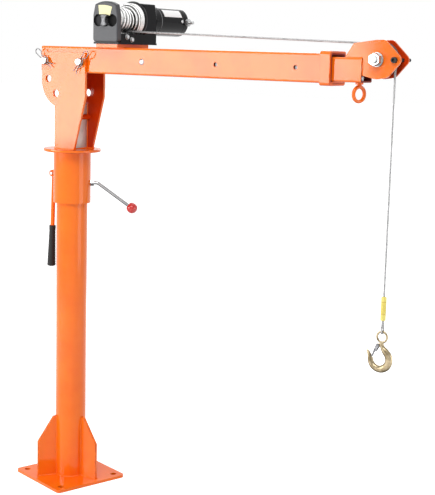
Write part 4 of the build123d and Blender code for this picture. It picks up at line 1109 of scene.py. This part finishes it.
def threaded(name, start, end, radius, pitch, finish, body):
    """A threaded end that stands just proud of a CAD rod."""
    run = Vector(end) - Vector(start)
    mesh = spun(thread_profile(radius + THREAD_PROUD, run.length, pitch))
    add_piece(name, stand(mesh, start, run), finish, body)


print("threads stand proud by", THREAD_PROUD)

# %% Threads
axle_low, axle_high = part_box("sheave_axle")
axle_nut_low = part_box("axle_nut")[0]
keeper_low, keeper_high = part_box("keeper_bolt")
keeper_nut_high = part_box("keeper_nut")[1]
terminal_low, terminal_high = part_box("motor_terminals")
axle_middle = (axle_low + axle_high) / 2
keeper_middle = (keeper_low + keeper_high) / 2
terminal_middle = (terminal_low + terminal_high) / 2
AXLE_RADIUS = 0.009
AXLE_PITCH = 0.0016
KEEPER_RADIUS = 0.004
KEEPER_PITCH = 0.0014
STUD_RADIUS = 0.004
STUD_PITCH = 0.0013
STUD_SHOWN = 0.0125

start = (axle_middle.x, axle_nut_low.y, axle_middle.z)
end = (axle_middle.x, axle_low.y, axle_middle.z)
threaded("axle_thread", start, end, AXLE_RADIUS, AXLE_PITCH, zinc, "extension")
start = (keeper_middle.x, keeper_nut_high.y, keeper_middle.z)
end = (keeper_middle.x, keeper_high.y, keeper_middle.z)
threaded("keeper_thread", start, end, KEEPER_RADIUS, KEEPER_PITCH, black_steel, "extension")
for name, tip, way in (("rear_stud_thread", terminal_low.x, -1), ("front_stud_thread", terminal_high.x, 1)):
    start = (tip - way * STUD_SHOWN, terminal_middle.y, terminal_middle.z)
    end = (tip, terminal_middle.y, terminal_middle.z)
    threaded(name, start, end, STUD_RADIUS, STUD_PITCH, zinc, "head")
print("made four threads")

# %% [markdown]
# ## Grip on the swing handle
# The handle ends in a moulded rubber grip: a slim cone with a collar at the top, fine rings along it and a
# round butt. The rings could be bump in the rubber, but as ridges in the outline that is spun they also show
# at the grip's edge. The grip hangs at the handle's small lean.

# %% Grip
HANDLE_PIVOT = Vector((-0.066, 0.0, 0.871))
HANDLE_LEAN = radians(1.9)
HANDLE_DROP = 0.266
GRIP_LENGTH = 0.117
GRIP_TOP_RADIUS = 0.0085
GRIP_FOOT_RADIUS = 0.012
GRIP_BORE = 0.006
GRIP_RINGS = 22
RINGS_FROM = 0.008
PLAIN_LENGTH = 0.020
RING_DEPTH = 0.0005
COLLAR_PROUD = 0.0008
COLLAR_HEIGHT = 0.009
COLLAR_ROUND = 0.001
# The butt as shares of the foot's radius and heights, and a ring as shares of its pitch and depths.
BUTT = ((0, 0), (0.75, 0.0003), (0.95, 0.0018), (1, 0.005))
RING_CUT = ((0, 0), (0.25, RING_DEPTH), (0.55, RING_DEPTH), (0.8, 0))


def grip_profile():
    """Half of the grip's outline from its butt to its top, with the foot at height 0."""
    profile = [(share * GRIP_FOOT_RADIUS, height) for share, height in BUTT]
    pitch = (GRIP_LENGTH - PLAIN_LENGTH) / GRIP_RINGS
    for ring in range(GRIP_RINGS):
        foot = RINGS_FROM + ring * pitch
        radius = GRIP_FOOT_RADIUS + (GRIP_TOP_RADIUS - GRIP_FOOT_RADIUS) * foot / GRIP_LENGTH
        profile += [(radius - depth, foot + share * pitch) for share, depth in RING_CUT]
    collar = GRIP_TOP_RADIUS + COLLAR_PROUD
    profile.append((collar, GRIP_LENGTH - COLLAR_HEIGHT))
    profile.append((collar, GRIP_LENGTH - COLLAR_ROUND))
    profile.append((collar - COLLAR_ROUND, GRIP_LENGTH))
    profile.append((GRIP_BORE, GRIP_LENGTH))
    return profile


hang = Vector((-sin(HANDLE_LEAN), 0, -cos(HANDLE_LEAN)))
grip_mesh = stand(spun(grip_profile()), HANDLE_PIVOT + hang * HANDLE_DROP, -hang)
grip = add_piece("ribbed_grip", grip_mesh, rubber, "swing_handle", ["handle_grip"])
print("grip faces", len(grip.data.polygons))

# %% [markdown]
# ## Small fittings
# A domed plug closes the boom's rear adjusting hole, and white buttons in the inner boom's holes show through
# the other two as painted light, a bright patch in each hole. The motor's end cap is held by two long screws,
# whose heads show, and one small screw sits in the motor's side. Each of them is half an outline in radius
# and height, spun.

# %% Plugs and buttons in the boom
DOME = [(0, 0), (0.0078, 0), (0.0078, 0.0045), (0.0070, 0.0056)]
DOME += [(0.0050, 0.0064), (0.0025, 0.0068), (0, 0.0069)]
HOLE_HEIGHT = 1.188
PLUG_ALONG = 0.260
PLUG_DEPTH = 0.0045
BUTTON = [(0, 0), (0.0053, 0), (0.0053, 0.0036), (0.0047, 0.0045), (0.0030, 0.0050), (0, 0.0052)]
BUTTON_ALONG = (0.4895, 0.719)
BUTTON_DEPTH = 0.0042

for side, name in ((-1, "near_boom_plug"), (1, "far_boom_plug")):
    face = side * (boom_high.y - PLUG_DEPTH)
    plug = stand(spun(DOME), (PLUG_ALONG, face, HOLE_HEIGHT), (0, side, 0))
    add_piece(name, plug, zinc, "head")
# The buttons are white as painted light, a bright patch in each hole.
for side, name in ((-1, "near"), (1, "far")):
    face = side * (inner_high.y - BUTTON_DEPTH)
    for hole, along in enumerate(BUTTON_ALONG, 1):
        button = stand(spun(BUTTON), (along, face, HOLE_HEIGHT), (0, side, 0))
        add_piece(f"{name}_button_{hole}", button, white_plate, "extension")
print("made two plugs and four buttons")

# %% Screws on the motor
SCREW_HEAD = [(0, 0), (0.0046, 0), (0.0046, 0.0022), (0.0036, 0.0032)]
SCREW_HEAD += [(0.0018, 0.0034), (0.0016, 0.0022), (0, 0.0022)]
CAP_SCREW_REACH = 0.022
CAP_SCREW_LEAN = 0.4
SIDE_SCREW_ALONG = 0.2185
SIDE_SCREW_ABOVE = 0.002
SIDE_SCREW_SUNK = 0.0008
cap_low, cap_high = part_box("motor_end_cap")
cap_middle = (cap_low + cap_high) / 2

for side, name in ((-1, "low_cap_screw"), (1, "high_cap_screw")):
    beside = CAP_SCREW_LEAN * side * CAP_SCREW_REACH
    place = (cap_middle.x + beside, cap_high.y, cap_middle.z + side * CAP_SCREW_REACH)
    add_piece(name, stand(spun(SCREW_HEAD), place, (0, 1, 0)), zinc, "head")
place = (cap_high.x - SIDE_SCREW_SUNK, SIDE_SCREW_ALONG, cap_middle.z + SIDE_SCREW_ABOVE)
side_screw = stand(spun(SCREW_HEAD), place, (1, 0, 0))
add_piece("can_side_screw", side_screw, zinc, "head")
print("made three screws")

# %% [markdown]
# ## Blank plates on the winch
# The gear case carries a fan-shaped plate and the motor a curved one, both blank. A plate is an edge that is
# spun through part of a turn, which makes a sector or a bent sheet, and then thickened and bevelled.

# %% Sheet for the plates
PLATE_THICKNESS = 0.0006
PLATE_BEVEL = 0.0002


def part_spun(first, second, centre, axis, angle, steps):
    """A strip made by turning an edge through part of a turn."""
    mesh = bmesh.new()
    ends = [mesh.verts.new(first), mesh.verts.new(second)]
    edge = mesh.edges.new(ends)
    bmesh.ops.spin(mesh, geom=ends + [edge], cent=centre, axis=axis, dvec=(0, 0, 0), angle=angle, steps=steps)
    return mesh


def thickened(mesh, outwards):
    """Turns a strip's faces outwards and gives it a thickness and small bevels."""
    bmesh.ops.recalc_face_normals(mesh, faces=mesh.faces)
    sample = mesh.faces[:][0]
    if sample.normal.dot(outwards) < 0:
        bmesh.ops.reverse_faces(mesh, faces=mesh.faces)
    bmesh.ops.solidify(mesh, geom=mesh.faces[:], thickness=-PLATE_THICKNESS)
    bmesh.ops.recalc_face_normals(mesh, faces=mesh.faces)
    round_edges(mesh, PLATE_BEVEL, 1)
    return mesh


print("plate thickness:", PLATE_THICKNESS)

# %% Plate on the gear case
FAN_CENTRE = Vector((0.160, case_low.y, 1.214))
FAN_RADII = (0.094, 0.1175)
FAN_HALF_ANGLE = radians(11.0)
FAN_TILT = radians(5.0)
FAN_STEPS = 10
first_ray = Vector((sin(FAN_TILT - FAN_HALF_ANGLE), 0, cos(FAN_TILT - FAN_HALF_ANGLE)))
fan_ends = [FAN_CENTRE + first_ray * radius for radius in FAN_RADII]
fan = part_spun(*fan_ends, FAN_CENTRE, (0, 1, 0), 2 * FAN_HALF_ANGLE, FAN_STEPS)
add_piece("gear_case_plate", thickened(fan, Vector((0, -1, 0))), cream_plate, "head")
print("made the plate on the gear case")

# %% Plate on the motor
MOTOR_RADIUS = 0.0395
MOTOR_PLATE_ALONG = (0.138, 0.220)
MOTOR_PLATE_ANGLES = (radians(19), radians(52))
MOTOR_PLATE_STEPS = 12
can_middle = (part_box("motor_can")[0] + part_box("motor_can")[1]) / 2
axis_place = Vector((can_middle.x, 0, can_middle.z))
rim = Vector((cos(MOTOR_PLATE_ANGLES[0]), 0, sin(MOTOR_PLATE_ANGLES[0]))) * MOTOR_RADIUS
plate_ends = [axis_place + rim + Vector((0, along, 0)) for along in MOTOR_PLATE_ALONG]
plate_turn = MOTOR_PLATE_ANGLES[1] - MOTOR_PLATE_ANGLES[0]
bent = part_spun(*plate_ends, axis_place, (0, -1, 0), plate_turn, MOTOR_PLATE_STEPS)
add_piece("motor_plate", thickened(bent, Vector((1, 0, 1))), white_plate, "head")
print("made the plate on the motor")

# %% [markdown]
# ## Rings on the motor
# Two bare steel rings close the motor's front end. A torus would be too round for them, so a ring is a small
# closed loop of its own outline, spun about the motor's axis.

# %% Motor rings
RING_LOOP = [(-0.0010, 0), (0.0006, 0.0002), (0.0011, 0.0012)]
RING_LOOP += [(0.0006, 0.0022), (-0.0010, 0.0024), (-0.0010, 0)]
RING_PLACES = {"front_motor_ring": 0.1010, "rear_motor_ring": 0.1235}

for name, along in RING_PLACES.items():
    ring = spun([(MOTOR_RADIUS + out, height) for out, height in RING_LOOP])
    stand(ring, axis_place + Vector((0, along, 0)), (0, 1, 0))
    add_piece(name, ring, cast_steel, "head")
print("made the rings", *RING_PLACES)

# %% [markdown]
# ## Studio lights
# Five soft panels light the crane. A long low one in front on the left shows in the boom's side and as a pale
# stripe on the post. A high one in front lights the faces without showing in upright ones, and one behind
# lights the post's other edge. One above lights the upper sides, and one beyond the tip lights the ends.

# %% Lights
TARGET = Vector((0.35, 0.0, 0.95))


def soft_panel(name, place, width, height, power):
    """A large area light that faces the crane."""
    data = bpy.data.lights.new(name, "AREA")
    data.shape = "RECTANGLE"
    data.size = width
    data.size_y = height
    data.energy = power
    lamp = bpy.data.objects.new(name, data)
    lamp.location = place
    lamp.rotation_euler = (TARGET - Vector(place)).to_track_quat("-Z", "Y").to_euler()
    scene.collection.objects.link(lamp)
    return lamp


panels = [
    soft_panel("front_panel", (-1.41, -2.30, 1.10), width=2.20, height=0.76, power=59.0),
    soft_panel("high_panel", (1.2, -1.9, 3.0), width=1.5, height=1.5, power=54.0),
    soft_panel("rear_panel", (-0.4, 2.4, 1.7), width=1.6, height=1.6, power=26.0),
    soft_panel("top_panel", (0.3, 0.4, 3.4), width=2.0, height=2.0, power=22.0),
    soft_panel("side_panel", (2.55, 0.35, 0.80), width=1.2, height=1.3, power=12.0),
]
print("soft panels:", len(panels))

# %% [markdown]
# ## White background
# The world is white to the camera, in reflections and through glass, but it lights the crane less than that,
# so it only fills the shadows. More light would make the background white too, but it would wash out the
# colours. The pale floor glows for the same rays, less near the crane than far from it, and keeps the crane's
# shadow. Under the base plate the floor is painted dark as shade and does not glow, so that the bolt holes
# look deep.

# %% World
FILL = 0.28


def shown_ray(start):
    """1 for rays that show the background: from the camera, off gloss and through glass."""
    camera_ray = start.node("ShaderNodeLightPath", {}, {}, "Is Camera Ray")
    glossy_ray = start.node("ShaderNodeLightPath", {}, {}, "Is Glossy Ray")
    through_ray = start.node("ShaderNodeLightPath", {}, {}, "Is Transmission Ray")
    return between(camera_ray + glossy_ray + through_ray, 0.0, 1.0)


world = bpy.data.worlds.new("white_studio")
world.use_nodes = True
world.node_tree.nodes.clear()
start = Wire(world.node_tree)
strength = FILL + (1.0 - FILL) * shown_ray(start)
sky = start.node("ShaderNodeBackground", {}, {"Color": (1, 1, 1, 1), "Strength": strength})
start.node("ShaderNodeOutputWorld", {}, {"Surface": sky})
scene.world = world
print("world fills with", FILL)

# %% Floor
FLOOR_HALF = 25.0
BASE_TURN = radians(17)
PLATE_SHADE = (0.104, 0.112)
PALE_FLOOR = (0.8, 0.8, 0.8)
# Painted shade: the floor under the base plate is dark.
PAINTED_SHADE_FLOOR = (0.04, 0.03, 0.03)
GLOW_NEAR = 0.62
GLOW_RISE = 0.5
GLOW_RANGE = (0.5, 1.5)

white_floor, start = new_finish("white_floor")
place = start.node("ShaderNodeTexCoord", {}, {}, "Object")
distance = start.node("ShaderNodeVectorMath", {"operation": "LENGTH"}, {0: place}, "Value")
turned = start.node("ShaderNodeMapping", {}, {"Vector": place, "Rotation": (0, 0, BASE_TURN)})
beside = start.node("ShaderNodeVectorMath", {"operation": "ABSOLUTE"}, {0: turned})
beside_x = start.node("ShaderNodeSeparateXYZ", {}, {0: beside}, "X")
beside_y = start.node("ShaderNodeSeparateXYZ", {}, {0: beside}, "Y")
uncovered = between(start.math("MAXIMUM", beside_x, beside_y), *PLATE_SHADE)
glow = (GLOW_NEAR + GLOW_RISE * between(distance, *GLOW_RANGE)) * uncovered
floor_colour = tint(uncovered, PAINTED_SHADE_FLOOR, PALE_FLOOR)
paint = start.node("ShaderNodeBsdfDiffuse", {}, {"Color": floor_colour})
light = start.node("ShaderNodeEmission", {}, {"Color": (1, 1, 1, 1), "Strength": glow * shown_ray(start)})
floor_look = start.node("ShaderNodeAddShader", {}, {0: paint, 1: light})
start.node("ShaderNodeOutputMaterial", {}, {"Surface": floor_look})

floor_mesh = bmesh.new()
bmesh.ops.create_grid(floor_mesh, x_segments=1, y_segments=1, size=FLOOR_HALF)
floor_data = bpy.data.meshes.new("floor")
floor_mesh.to_mesh(floor_data)
floor_mesh.free()
floor_data.materials.append(white_floor)
floor = bpy.data.objects.new("floor", floor_data)
scene.collection.objects.link(floor)
print("floor reaches", FLOOR_HALF, "each way")

# %% [markdown]
# ## Cords
# The lengths of the rope's free stretches are measured. The sleeve and the eye hang on the drop.

# %% Cords
run_length(run_points)
run_length(drop_points)
print("declared the cords", rope_run.name, "and", rope_drop.name)
